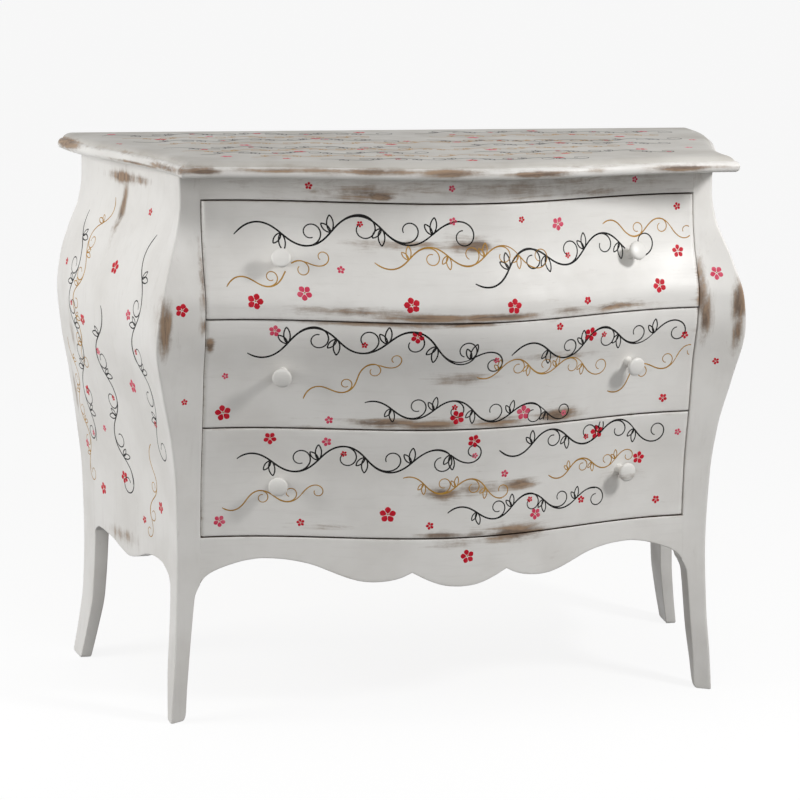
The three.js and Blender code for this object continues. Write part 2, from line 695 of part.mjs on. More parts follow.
function knobFrame(x, z) {
  const acrossSlope = (frontY(x + SLOPE_STEP, z) - frontY(x - SLOPE_STEP, z)) / (2 * SLOPE_STEP);
  const upSlope = (frontY(x, z + SLOPE_STEP) - frontY(x, z - SLOPE_STEP)) / (2 * SLOPE_STEP);
  const out = new THREE.Vector3(acrossSlope, -1, upSlope).normalize();
  const side = new THREE.Vector3(0, 0, 1).cross(out).normalize();
  const up = new THREE.Vector3().crossVectors(out, side);
  const frame = new THREE.Matrix4().makeBasis(side, up, out);
  frame.setPosition(x, frontY(x, z), z);
  return frame;
}

const knobBaseRadius = KNOB_RADIUS * KNOB_BASE_SHARE;
const pilotRadius = SCREW_SHANK_RADIUS + HOLE_CLEARANCE;
const pilotDepth = SCREW_REACH + PILOT_OVERRUN;
const knobBody = [
  [pilotRadius, pilotDepth], [pilotRadius, 0],
  ...KNOB_OUTLINE_SHARES.map(([a, b]) => [a * KNOB_RADIUS, b * KNOB_LENGTH]),
];
const knobLift = GLUE_GAP - KNOB_SEAT_DEPTH;
const screwSeat = -(FRONT_THICKNESS - SCREW_HEAD_HEIGHT - SCREW_HEAD_RECESS);
const screwBody = [
  [SCREW_HEAD_RADIUS, screwSeat - SCREW_HEAD_HEIGHT], [SCREW_HEAD_RADIUS, screwSeat],
  [SCREW_SHANK_RADIUS, screwSeat], [SCREW_SHANK_RADIUS, SCREW_REACH - SCREW_POINT_LENGTH],
];

// What is cut from a drawer front for one knob: a flat seat, the screw hole and its sinking
function knobCutters(frame) {
  const seatRadius = knobBaseRadius + HOLE_CLEARANCE;
  const sinkRadius = SCREW_HEAD_RADIUS + SCREW_HEAD_CLEARANCE;
  const rod = (radius, from, to, steps) => {
    return turned([[radius, from], [radius, to]], from, to, steps).applyMatrix4(frame);
  };
  return [
    rod(seatRadius, -KNOB_SEAT_DEPTH, SCREW_HOLE_OVERRUN, KNOB_STEPS),
    rod(pilotRadius, -(FRONT_THICKNESS + SCREW_HOLE_OVERRUN), 0, SCREW_STEPS),
    rod(sinkRadius, -(FRONT_THICKNESS + SCREW_HOLE_OVERRUN), screwSeat + knobLift + GLUE_GAP,
      SCREW_STEPS),
  ];
}

// Drawers, from the top down
['upper', 'middle', 'lower'].forEach((place, number) => {
  const name = (piece) => `${place}_drawer_${piece}`;
  const frontBottom = drawerJoints[number + 1] + halfJoint;
  const frontTop = drawerJoints[number] - halfJoint;
  const boxBottom = frontBottom + FRONT_LAP + GLUE_GAP;
  const boxTop = frontTop - BOX_SIDE_TOP_DROP;
  const boardBottom = boxBottom + BOX_BOTTOM_LIFT;
  const boardTop = boardBottom + BOX_BOTTOM_THICKNESS;
  const lapBelow = frontBottom + FRONT_LAP;
  const lapAbove = frontTop - (DIVIDER_THICKNESS - FRONT_LAP - JOINT_WIDTH);
  const middleLevels = MIDDLE_LEVEL_SHARES.map((share) => between(boardTop, boxTop, share));
  const levels = [
    frontBottom, lapBelow, boardBottom, boardTop, ...middleLevels, boxTop, lapAbove, frontTop,
  ];

  // The front, with what its two knobs need cut into it
  const knobHeight = between(frontBottom, frontTop, KNOB_HEIGHT_SHARES[number]);
  const rightFrame = knobFrame(KNOB_DISTANCE, knobHeight);
  const leftFrame = knobFrame(-KNOB_DISTANCE, knobHeight);
  const blank = frontBoard(drawerAcross, levels, (x, z) => z);
  add(name('front'), cut(blank, [...knobCutters(leftFrame), ...knobCutters(rightFrame)]),
    PAINT, PAINT_ROUGHNESS);

  // The box behind it
  const boxBackY = rearRailFrontY - BOX_BACK_CLEARANCE;
  const sideInner = boxHalf - BOX_SIDE_THICKNESS;
  const frontInside = (x, z) => frontY(x, z) + FRONT_THICKNESS + GLUE_GAP;
  const sideLevels = [boxBottom, boardBottom, boardTop, ...middleLevels, boxTop];
  const side = stack(sideLevels.map((z) => {
    return fourCorners(sideInner, boxHalf, frontInside(boxHalf, z), boxBackY, z);
  }));
  add(name('left_side'), mirrored(side), RAW_WOOD, WOOD_ROUGHNESS);
  add(name('right_side'), side, RAW_WOOD, WOOD_ROUGHNESS);

  add(name('bottom'), stack([boardBottom, boardTop].map((z) => [
    ...innerAcross.map((x) => [x, frontInside(x, z), z]),
    [boxInnerHalf, boxBackY, z],
    [-boxInnerHalf, boxBackY, z],
  ])), PLYWOOD, WOOD_ROUGHNESS);

  const backFrontY = boxBackY - BOX_SIDE_THICKNESS;
  add(name('back'), block(-boxInnerHalf, boxInnerHalf, backFrontY, boxBackY,
    boardTop + GLUE_GAP, boxTop - BOX_BACK_TOP_DROP), RAW_WOOD, WOOD_ROUGHNESS);

  // Its knobs and screws
  [['left', leftFrame], ['right', rightFrame]].forEach(([hand, frame]) => {
    const knob = turned(knobBody, pilotDepth, KNOB_LENGTH, KNOB_STEPS);
    knob.translate(0, 0, knobLift);
    add(name(`${hand}_knob`), knob.applyMatrix4(frame), KNOB_PAINT, PAINT_ROUGHNESS);
    const screw = turned(screwBody, screwSeat - SCREW_HEAD_HEIGHT, SCREW_REACH, SCREW_STEPS);
    screw.translate(0, 0, knobLift);
    add(name(`${hand}_screw`), screw.applyMatrix4(frame), STEEL, STEEL_ROUGHNESS, 1);
  });
});

export default chest;
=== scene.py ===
"""Painted commode chest: smooth surfaces, paint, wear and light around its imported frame.

Shapes are worked out in millimetres, with the back edge of the top at y = 0 and the floor at
z = 0. The last step of each mesh turns them to metres and moves them to the frame's middle.
"""

import math
from functools import partial

import bpy
import numpy as np
from mathutils import Matrix, Vector


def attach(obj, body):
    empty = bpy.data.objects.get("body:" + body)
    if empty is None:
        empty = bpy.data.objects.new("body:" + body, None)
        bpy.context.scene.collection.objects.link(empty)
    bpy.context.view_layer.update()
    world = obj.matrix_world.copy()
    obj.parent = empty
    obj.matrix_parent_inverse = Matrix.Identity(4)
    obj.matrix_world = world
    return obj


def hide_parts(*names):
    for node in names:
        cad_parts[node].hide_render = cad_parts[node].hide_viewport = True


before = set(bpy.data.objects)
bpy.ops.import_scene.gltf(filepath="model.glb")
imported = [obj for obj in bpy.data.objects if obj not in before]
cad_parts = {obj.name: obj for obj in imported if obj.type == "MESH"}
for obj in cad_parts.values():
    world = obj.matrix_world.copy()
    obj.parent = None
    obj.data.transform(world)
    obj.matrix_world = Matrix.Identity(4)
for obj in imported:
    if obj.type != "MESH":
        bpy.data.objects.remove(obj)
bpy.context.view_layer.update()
scene = bpy.context.scene

MM = 1000.0  # Millimetres in a metre

# Sizes, in millimetres
WIDTH, DEPTH, HEIGHT = 1148.0, 583.0, 900.0
TOP_THICKNESS = 26.0
TOP_BOW = 73.0
TOP_CORNER_LAND = 12.0
TOP_CORNER_REACH, TOP_TIP_SHARE = 28.0, 0.14
STILE_WIDTH = 33.5
JOINT_WIDTH = 2.0
# The upper front stands proud, and the fronts' ends are fitted closer than the solids'
PROUD = {"upper": 3.0, "middle": 0.0, "lower": 0.0}
LEFT_END_EXTRA, RIGHT_END_EXTRA = 0.8, 1.4
FRONT_THICKNESS = 20.0
SIDE_THICKNESS = 18.0
SIDE_SWAY = 8.0
CORNER_FLARE_POWER = 1.5
REAR_POST_INSET, REAR_POST_DEPTH, REAR_POST_THICKNESS = 1.0, 80.0, 24.5
FOOT_ROUNDING, FOOT_SHARE = 5.0, 0.86
FOOT_LEVELS = (0, 0.25, 0.8, 1.7, 3.2)
FRONT_LEG_TOP, REAR_LEG_TOP, LEG_FADE = 222.0, 233.0, 10.0
FRONT_BARE_FROM, REAR_BARE_FROM = 300.0, 258.0
DRAWERS_FROM, DRAWERS_TO, DRAWER_FADE = 297.0, 831.0, 3.0
ARRIS_ROUNDING, ARRIS_ROUNDING_SHARE = 4.5, 0.3
SHARP, INNER_ROUNDING, LEG_ROUNDING = 0.05, 1.6, 1.8
REAR_FACE_ROUNDING, REAR_LEG_ROUNDING = 1.8, 2.2
DRAWER_ROUNDING, DRAWER_END_ROUNDING = 2.4, 6.5
RAIL_ROUNDING, APRON_ROUNDING, SIDE_ROUNDING = 1.2, 1.6, 1.6
DRAWER_EDGE_WEAR, FRAME_EDGE_WEAR, EDGE_WEAR_WIDTH = 0.25, 0.2, 5.0
KNOB_DISTANCE, KNOB_RADIUS, KNOB_LENGTH, KNOB_LIFT = 284.0, 15.3, 30.8, -0.3
KNOB_HEIGHT_SHARES = (0.482, 0.5215, 0.493)
SCREW_RECESS_RADIUS, SCREW_RECESS_DEPTH, CUT_OVERRUN = 5.4, 3.5, 8.0

ARRIS_WAIST = 0.7657
HALF = WIDTH / 2
TO_MIDDLE = (0, DEPTH / 2, 0)
UNDER_TOP = HEIGHT - TOP_THICKNESS
POST_BACK = DEPTH * 0.669
OPENING_HALF = HALF * ARRIS_WAIST - STILE_WIDTH
DRAWER_HALF = OPENING_HALF - JOINT_WIDTH
WAVE_HALF = DRAWER_HALF - JOINT_WIDTH
JOINTS = [HEIGHT * share for share in (0.9244, 0.7239, 0.5278, 0.3293)]
DRAWERS = ("upper", "middle", "lower")
SIGNS = {"left": -1, "right": 1}


def through(pairs, first=1.0, second=1.0):
    """Smooth curve through the pairs. Between two points it is a cubic whose slope at each is
    the harmonic mean of the rises before and after it, and level where those rises turn."""
    at = np.array([p[0] for p in pairs]) * first
    value = np.array([p[1] for p in pairs]) * second
    rise = np.diff(value) / np.diff(at)
    before, after = rise[:-1], rise[1:]
    total = before + after
    total[np.abs(total) < 1e-12] = 1.0
    slope = np.concatenate([rise[:1], np.where(before * after > 0, 2 * before * after / total, 0),
                            rise[-1:]])

    def curve(place):
        place = np.clip(np.asarray(place, float), at[0], at[-1])
        k = np.clip(np.searchsorted(at, place, side="left") - 1, 0, len(at) - 2)
        span = at[k + 1] - at[k]
        share = (place - at[k]) / span
        rest = 1 - share
        ends = rest ** 2 * (1 + 2 * share) * value[k] + share ** 2 * (1 + 2 * rest) * value[k + 1]
        return ends + rest ** 2 * share * span * slope[k] - share ** 2 * rest * span * slope[k + 1]

    return curve


# Each pair holds shares of the height and of half the width, or of the depth
arris_half_width = through([
    (0, 0.798), (0.067, 0.791), (0.156, 0.782), (0.289, 0.776), (0.411, 0.78), (0.5, 0.794),
    (0.589, 0.822), (0.68, 0.845), (0.744, 0.834), (0.811, 0.807), (0.878, 0.775),
    (0.924, ARRIS_WAIST), (0.973, 0.767)], HEIGHT, HALF)
rear_half_width = through([
    (0, 0.96), (0.067, 0.942), (0.133, 0.929), (0.222, 0.925), (0.356, 0.93), (0.444, 0.944),
    (0.561, 0.969), (0.633, 0.988), (0.716, 1), (0.778, 0.988), (0.833, 0.962), (0.878, 0.935),
    (0.924, 0.925), (0.973, 0.925)], HEIGHT, HALF)
arris_depth = through([
    (0, 0.782), (0.067, 0.777), (0.156, 0.76), (0.289, 0.748), (0.411, 0.755), (0.5, 0.767),
    (0.589, 0.791), (0.678, 0.82), (0.736, 0.8285), (0.811, 0.7925), (0.878, 0.7425),
    (0.924, 0.727), (0.973, 0.7205)], HEIGHT, DEPTH)
stile_depth = through([
    (0.222, 0.7375), (0.329, 0.735), (0.423, 0.7385), (0.528, 0.7605), (0.623, 0.778),
    (0.711, 0.806), (0.747, 0.806), (0.789, 0.784), (0.833, 0.754), (0.878, 0.7365),
    (0.924, 0.728), (0.973, 0.7185)], HEIGHT, DEPTH)
wave_depth = through([
    (0.222, 0.144), (0.528, 0.144), (0.723, 0.173), (0.924, 0.1785), (0.973, 0.1785)],
    HEIGHT, DEPTH)
front_leg_inner = through([
    (0, 0.86), (0.006, 0.79), (0.015, 0.745), (0.03, 0.725), (0.05, 0.7), (0.097, 0.595),
    (0.158, 0.448), (0.204, 0.328), (0.223, 0.269), (0.237, 0.12), (0.246, 0)],
    HEIGHT, STILE_WIDTH)
front_leg_back = through([
    (0, 0.7445), (0.041, 0.724), (0.121, 0.695), (0.204, 0.688), (0.238, 0.6825),
    (0.251, 0.669)], HEIGHT, DEPTH)
rear_leg_front = through([
    (0, 0.65), (0.057, 0.75), (0.118, 0.8625), (0.167, 0.9), (0.222, 0.9375), (0.25, 0.975),
    (0.262, 1)], HEIGHT, REAR_POST_DEPTH)
rear_thickness = through([(0, 0.775), (0.144, 0.93), (0.289, 1), (0.973, 1)],
                         HEIGHT, REAR_POST_THICKNESS)
side_lower_edge = through([
    (0, 0.257), (0.032, 0.2655), (0.087, 0.27), (0.248, 0.2645), (0.374, 0.251), (0.455, 0.2445),
    (0.548, 0.25), (0.661, 0.2635), (0.774, 0.268), (0.871, 0.2665), (0.9355, 0.26),
    (1, 0.251)], POST_BACK - REAR_POST_DEPTH, HEIGHT)
CUSP = (0.193, 0.268)
apron_middle = through([(0, 0.241), (0.039, 0.242), (0.076, 0.245), (0.126, 0.253), CUSP],
                       OPENING_HALF, HEIGHT)
apron_outer = through([
    CUSP, (0.239, 0.258), (0.293, 0.252), (0.345, 0.25), (0.382, 0.251), (0.424, 0.255),
    (0.47, 0.262), (0.515, 0.27), (0.562, 0.278), (0.616, 0.284), (0.69, 0.2885),
    (0.754, 0.2895), (0.818, 0.286), (0.877, 0.279), (0.936, 0.2695), (0.968, 0.262),
    (0.99, 0.2535), (1, 0.2465)], OPENING_HALF, HEIGHT)
top_half_width = through([
    (0, 0.993), (0.157, 0.9765), (0.314, 0.9425), (0.471, 0.8955), (0.6275, 0.8475),
    (0.784, 0.81), (0.902, 0.7935), (1, 0.7875)], DEPTH - TOP_BOW, HALF)


def half_wave(distance, half_width):
    """1 in the middle, falling as a cosine to 0 at the half width."""
    return (1 + np.cos(np.pi * np.minimum(np.abs(distance) / half_width, 1))) / 2


def front_y(x, z):
    """The outer front: minus the stile's depth and its wave, then flaring to the arris."""
    distance = np.abs(x)
    stile = stile_depth(z)
    wave = stile + wave_depth(z) * half_wave(distance, WAVE_HALF)
    share = np.clip((distance - WAVE_HALF) / (arris_half_width(z) - WAVE_HALF), 0, 1)
    flare = stile + (arris_depth(z) - stile) * share ** CORNER_FLARE_POWER
    return -np.where(distance <= WAVE_HALF, wave, flare)


def side_x(y, z):
    """Half width of the outer side: straight from the rear to the arris, plus one sine sway."""
    share = np.minimum(-y / arris_depth(z), 1)
    straight = rear_half_width(z) + (arris_half_width(z) - rear_half_width(z)) * share
    return straight + SIDE_SWAY * np.sin(2 * np.pi * share)


# Colours and materials
def colour(code):
    """An sRGB colour of six hex digits as the linear colour that the nodes take."""
    parts = [int(code[k:k + 2], 16) / 255 for k in (1, 3, 5)]
    return tuple(c / 12.92 if c <= 0.04045 else ((c + 0.055) / 1.055) ** 2.4
                 for c in parts) + (1.0,)


def add_node(tree, kind, *values, output=None, **named):
    """Adds a node and gives one of its outputs. Values, colours as hex digits, or outputs of
    other nodes go to its open inputs in their order, and named ones to the setting or the input
    of that name."""
    node = tree.nodes.new("ShaderNode" + kind)
    for key in [key for key in named if hasattr(node, key)]:
        setattr(node, key, named.pop(key))
    filled = list(zip([socket for socket in node.inputs if socket.enabled], values))
    filled += [(node.inputs[key.replace("_", " ")], value) for key, value in named.items()]
    for socket, value in filled:
        if isinstance(value, bpy.types.NodeSocket):
            tree.links.new(value, socket)
        else:
            socket.default_value = colour(value) if isinstance(value, str) else value
    return node.outputs[output] if output else next(s for s in node.outputs if s.enabled)


def new_material(name, surface, *choices):
    """A material whose surface a function makes, with a call that adds a node to its tree."""
    material = bpy.data.materials.new(name)
    material.use_nodes = True
    tree = material.node_tree
    tree.nodes.remove(tree.nodes["Principled BSDF"])
    made = surface(partial(add_node, tree), *choices)
    tree.links.new(made, tree.nodes["Material Output"].inputs["Surface"])
    return material


# A Mix takes its share and two colours, and a MapRange its value, then from where to where it
# runs, and then what it runs to, which is 0 to 1 where that isn't given
COLOURS, SMOOTH = {"data_type": "RGBA"}, {"interpolation_type": "SMOOTHSTEP"}

# Sizes of the patterns, in millimetres. Brush marks, pores and clouds of zinc are finer on the
# real thing, and are drawn as coarse as they need to be to show. A grain tells how many times
# finer than its size a pattern is along X, Y and Z.
PAINT_CLOUDS, BRUSH_MARKS, WORN_STREAKS, WORN_BLOTS = 111.1, 111.1, 142.9, 21.74
WOOD_RINGS, WOOD_LINES, WOOD_PORES, ZINC_CLOUDS, ENAMEL_CLOUDS = 333.3, 625, 33.33, 2.5, 18.18
BRUSH_DEPTH, PORE_DEPTH = 0.3, 0.2
LEVEL_STROKES, UPRIGHT_STROKES = (1.2, 3, 14), (9, 9, 1.1)
GRAIN_ACROSS, GRAIN_UPRIGHT, GRAIN_DEEP = (0.6, 6, 6), (6, 6, 0.6), (6, 0.6, 6)
PLY_GRAIN = (0.8, 5, 9)


def brushed_paint(add, light, dark, strokes, sheen):
    """Satin paint, brushed on by hand over brown wood and rubbed through: pale with soft darker
    clouds, faint ridges of the brush, and brown where the piece's own worn places are, with a
    greyish brown as painted shade on the rail under the top."""
    places = add("TexCoord", output="Object")
    along = add("Mapping", places, Scale=strokes)
    clouds = add("TexNoise", places, Scale=MM / PAINT_CLOUDS, Detail=4, Roughness=0.55)
    clouds = add("MapRange", clouds, 0.35, 0.7, **SMOOTH)
    darker = add("Math", clouds, 0.6, operation="MULTIPLY")
    paint = add("Mix", darker, light, dark, **COLOURS)
    ridges = add("TexNoise", along, Scale=MM / BRUSH_MARKS, Detail=4, Roughness=0.6)
    darker = add("MapRange", ridges, 0.5, 0.75, 0, 0.35, **SMOOTH)
    paint = add("Mix", darker, paint, dark, **COLOURS)
    # Wear, and the painted shade on the rail, is the piece's own value, made uneven by streaks
    # along the strokes and by blots
    streaks = add("TexNoise", along, Scale=MM / WORN_STREAKS, Detail=7, Roughness=0.72,
                  Distortion=0.6)
    blots = add("TexNoise", places, Scale=MM / WORN_BLOTS, Detail=5, Roughness=0.65)
    worn = add("Attribute", output="Fac", attribute_name="rubbed")
    worn = add("Math", streaks, 1.1, worn, operation="MULTIPLY_ADD")
    worn = add("Math", blots, 0.5, worn, operation="MULTIPLY_ADD")
    thin = add("MapRange", worn, 0.92, 1.3, 0, 0.5, **SMOOTH)
    paint = add("Mix", thin, paint, "#9C8E81", **COLOURS)
    grain = add("MapRange", streaks, 0.4, 0.62, **SMOOTH)
    wood = add("Mix", grain, "#5C4736", "#A08469", **COLOURS)
    bare = add("MapRange", worn, 1.12, 1.48, **SMOOTH)
    browner = add("Math", bare, 0.9, operation="MULTIPLY")
    shade = add("Mix", browner, paint, wood, **COLOURS)
    dull = add("Math", bare, clouds)
    dull = add("MapRange", dull, 0, 2, sheen, sheen + 0.25)
    height = add("Math", bare, -0.6, ridges, operation="MULTIPLY_ADD")
    bump = add("Bump", 0.35, BRUSH_DEPTH / MM, Height=height)
    return add("BsdfPrincipled", shade, Roughness=dull, Normal=bump, Specular_IOR_Level=0.32)


def planed_wood(add, light, dark, grain):
    """Planed softwood, bare: long streaks of the grain over pale wood, and a dull surface."""
    along = add("Mapping", add("TexCoord", output="Object"), Scale=grain)
    rings = add("TexNoise", along, Scale=MM / WOOD_RINGS, Distortion=1.2)
    lines = add("TexWave", along, Scale=MM / WOOD_LINES, Distortion=6, Detail=3,
                Detail_Scale=1.2, bands_direction="DIAGONAL", output="Fac")
    pores = add("TexNoise", along, Scale=MM / WOOD_PORES, Detail=3, Roughness=0.7)
    wood = add("Mix", add("Mix", 0.5, rings, lines), light, dark, **COLOURS)
    darker = add("MapRange", pores, 0.55, 0.8, 0, 0.4, **SMOOTH)
    wood = add("Mix", darker, wood, dark, **COLOURS)
    dull = add("MapRange", pores, 0, 1, 0.55, 0.75)
    bump = add("Bump", 0.3, PORE_DEPTH / MM, Height=pores)
    return add("BsdfPrincipled", wood, Roughness=dull, Normal=bump)


def zinc_steel(add):
    """Zinc-plated steel of the screws: grey metal with a slightly uneven shine."""
    places = add("TexCoord", output="Object")
    clouds = add("TexNoise", places, Scale=MM / ZINC_CLOUDS, Detail=3)
    shade = add("Mix", clouds, "#B4B6B8", "#8E9194", **COLOURS)
    dull = add("MapRange", clouds, 0, 1, 0.28, 0.45)
    return add("BsdfPrincipled", shade, Metallic=1, Roughness=dull)


def brushed_enamel(add, main, other):
    """Enamel put on with a fine brush: a little glossy, a bit uneven in strength."""
    places = add("TexCoord", output="Object")
    clouds = add("TexNoise", places, Scale=MM / ENAMEL_CLOUDS, Detail=4, Roughness=0.6)
    weaker = add("MapRange", clouds, 0.4, 0.7, **SMOOTH)
    shade = add("Mix", weaker, main, other, **COLOURS)
    dull = add("MapRange", clouds, 0, 1, 0.35, 0.6)
    return add("BsdfPrincipled", shade, Roughness=dull, Specular_IOR_Level=0.12)


IVORY, SOFTWOOD = ("#E9E7E3", "#DAD7D2"), ("#D3B58A", "#A9855A")
ivory_paint = new_material("ivory_paint", brushed_paint, *IVORY, LEVEL_STROKES, 0.36)
ivory_paint_upright = new_material("ivory_paint_upright", brushed_paint, *IVORY,
                                   UPRIGHT_STROKES, 0.36)
# The top's paint is the ivory made greyer and darker as painted shade, since the top gets less
# light than the front and sides
top_paint = new_material("top_paint", brushed_paint, "#CBC8C2", "#B4AFA7", LEVEL_STROKES, 0.5)
knob_paint = new_material("knob_paint", brushed_paint, "#F0EEEA", "#E2E0DA", LEVEL_STROKES, 0.28)
wood_across = new_material("raw_wood_across", planed_wood, *SOFTWOOD, GRAIN_ACROSS)
wood_upright = new_material("raw_wood_upright", planed_wood, *SOFTWOOD, GRAIN_UPRIGHT)
wood_deep = new_material("raw_wood_deep", planed_wood, *SOFTWOOD, GRAIN_DEEP)
plywood = new_material("birch_plywood", planed_wood, "#D8C39C", "#BFA174", PLY_GRAIN)
# Dark brown wood for the faces beside the drawers' gaps: painted shade that darkens the gaps
gap_edge_painted_shade = new_material("painted_shade_gap_wood", planed_wood, "#6E5542", "#3F3024", GRAIN_ACROSS)
screw_steel = new_material("screw_steel", zinc_steel)
black_enamel = new_material("black_enamel", brushed_enamel, "#0E0D0D", "#1D1B1A")
ochre_enamel = new_material("ochre_enamel", brushed_enamel, "#A57A30", "#BF9448")
red_enamel = new_material("red_enamel", brushed_enamel, "#C0152A", "#D42B3C")
pink_enamel = new_material("pink_enamel", brushed_enamel, "#D2405C", "#DF6A80")
DRAWER_FINISHES_AND_GAP_SHADE = (ivory_paint, wood_across, gap_edge_painted_shade)
POST_FINISHES = (ivory_paint_upright, wood_upright)

# Worn places, and places of painted shade, as place along, height, half length, half height
# and strength. Those of the front reach back, and those of the left side reach in, as far as
# the rub line.
RUB_LINE, RUB_FALL = 400.0, 0.9
FRONT_RUBS_AND_SHADE = [
    # The first row is painted shade: it darkens the rail under the top's overhang
    (60, 856, 390, 22, 0.36), (-157, 846, 50, 12, 0.66), (-138, 841, 23, 6, 0.85),
    (-225, 850, 40, 5, 0.48), (215, 843, 67, 6, 0.52), (-95, 769, 101, 10, 0.48),
    (-8, 769, 48, 14, 0.62), (7, 768, 25, 11, 0.9), (-179, 668, 101, 9, 0.52),
    (-66, 660, 90, 6, 0.84), (30, 660, 84, 6, 0.84), (168, 663, 58, 7, 0.52),
    (250, 663, 65, 6, 0.66), (-139, 649, 141, 5, 0.6), (-14, 650, 66, 5, 0.72),
    # The row at -409, 706 is brown wear and painted shade of the proud upper drawer, along the left
    # stile's edge
    (-398, 611, 7, 13, 0.8), (-409, 706, 4, 57, 0.66), (-409, 642, 4, 14, 0.75),
    (-6, 559, 60, 12, 0.52), (143, 589, 74, 8, 0.44), (-128, 487, 66, 8, 0.8),
    (-59, 484, 56, 8, 0.76), (54, 485, 56, 10, 0.58), (158, 488, 42, 11, 0.9),
    (-34, 371, 32, 12, 0.8), (29, 375, 48, 13, 0.52), (96, 378, 33, 10, 0.74),
    (287, 375, 43, 8, 0.42), (-32, 302, 44, 6, 0.76), (25, 301, 34, 6, 0.68),
    (88, 299, 60, 14, 0.8), (-213, 314, 42, 5, 0.44), (-19, 285, 37, 5, 0.46),
    (409, 672, 9, 56, 0.7), (417, 637, 11, 36, 0.86), (470, 658, 13, 36, 0.86),
    (471, 612, 8, 42, 0.74), (-470, 642, 11, 46, 0.8), (-415, 885, 38, 5, 0.82),
    (-225, 887, 265, 6, 0.5), (-305, 887, 80, 5, 0.58), (-159, 887, 85, 6, 0.68),
    (-45, 885, 56, 7, 0.76), (94, 882, 64, 6, 0.82), (192, 884, 31, 5, 0.44),
    (351, 883, 66, 6, 0.82)]
SIDE_RUBS = [
    (-195, 845, 50, 10, 0.8), (-255, 846, 34, 8, 0.6), (-206, 798, 9, 46, 0.76),
    (-30, 470, 9, 50, 0.55), (-84, 577, 10, 40, 0.48), (-200, 250, 52, 13, 0.46),
    (-50, 887, 74, 9, 0.85), (-250, 892, 90, 3, 0.34), (-425, 883, 68, 6, 0.68),
    (-500, 886, 22, 8, 0.72), (-310, 879, 105, 3, 0.66)]


def rubs_and_shade_at(points):
    """Soft worn places, and soft painted shade: for each, its strength in the middle, falling as a
    bell with the distance measured in its own half sizes. The strongest one counts."""
    x, y, z = points.T
    worn = np.zeros(len(points))
    for rows, place, off in ((FRONT_RUBS_AND_SHADE, x, np.minimum(-RUB_LINE - y, 0)),
                             (SIDE_RUBS, y, np.maximum(x + RUB_LINE, 0))):
        for a, h, half_a, half_h, strength in rows:
            away = ((place - a) / half_a) ** 2 + ((z - h) / half_h) ** 2 + off ** 2
            worn = np.maximum(worn, strength * np.exp(-RUB_FALL * away))
    return worn


# Meshes
def stations(*stops, step):
    """Places from stop to stop, about a step apart, each stop among them."""
    parts = [np.linspace(a, b, max(int(math.ceil(abs(b - a) / step)), 1) + 1)[:-1]
             for a, b in zip(stops[:-1], stops[1:])]
    return np.concatenate(parts + [np.array([stops[-1]])])


def grid_faces(points):
    """Four-cornered faces of a grid of point numbers, whose rows are closed loops."""
    after = np.roll(points, -1, axis=1)
    quads = np.stack([points[:-1], after[:-1], after[1:], points[1:]], axis=-1)
    return quads.reshape(-1, 4).tolist()


def new_object(name, points, faces, materials, kinds=None):
    """A mesh from points in metres, with a material for each kind of face."""
    mesh = bpy.data.meshes.new(name)
    mesh.from_pydata(np.asarray(points).tolist(), [], faces)
    for material in materials:
        mesh.materials.append(material)
    if kinds is not None:
        mesh.polygons.foreach_set("material_index", np.asarray(kinds, np.int32))
    thing = bpy.data.objects.new(name, mesh)
    scene.collection.objects.link(thing)
    return thing


def make_piece(name, points, faces, body, materials, replaces=(), slot="ivory_paint", smooth=35,
               inner=None, worn=None):
    """Turns millimetres to the frame's metres, points the faces outwards by the sign of the
    volume, and hangs the piece on its body. The worn places are kept for the paint. A piece
    that replaces a solid hides it. The slot is not used."""
    points = np.asarray(points, float).reshape(-1, 3)
    quads = np.array([f if len(f) == 4 else [f[0], f[1], f[2], f[0]] for f in faces])
    a, b, c, d = (points[quads[:, k]] for k in range(4))
    volume = np.einsum("ij,ij->i", a, np.cross(b, c) + np.cross(c, d)).sum()
    if volume < 0:
        faces = [f[::-1] for f in faces]
    piece = new_object(name, (points + TO_MIDDLE) / MM, faces, materials, inner)
    mesh = piece.data
    mesh.update()
    mesh.shade_smooth()
    mesh.set_sharp_from_angle(angle=math.radians(smooth))
    # The rubbed values hold the worn places, and the painted shade on the rail and beside the upper
    # drawer
    rubbed = rubs_and_shade_at(points)
    if worn is not None:
        rubbed = np.maximum(rubbed, np.asarray(worn).ravel())
    layer = mesh.attributes.new("rubbed", "FLOAT", "POINT")
    layer.data.foreach_set("value", rubbed.astype(np.float32))
    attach(piece, body)
    if replaces:
        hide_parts(*replaces)
    return piece


def loop_faces(rows, columns):
    """Faces of a tube of loops, with a face over its first and its last loop."""
    points = np.arange(rows * columns).reshape(rows, columns)
    return grid_faces(points) + [points[0, ::-1].tolist(), points[-1].tolist()]


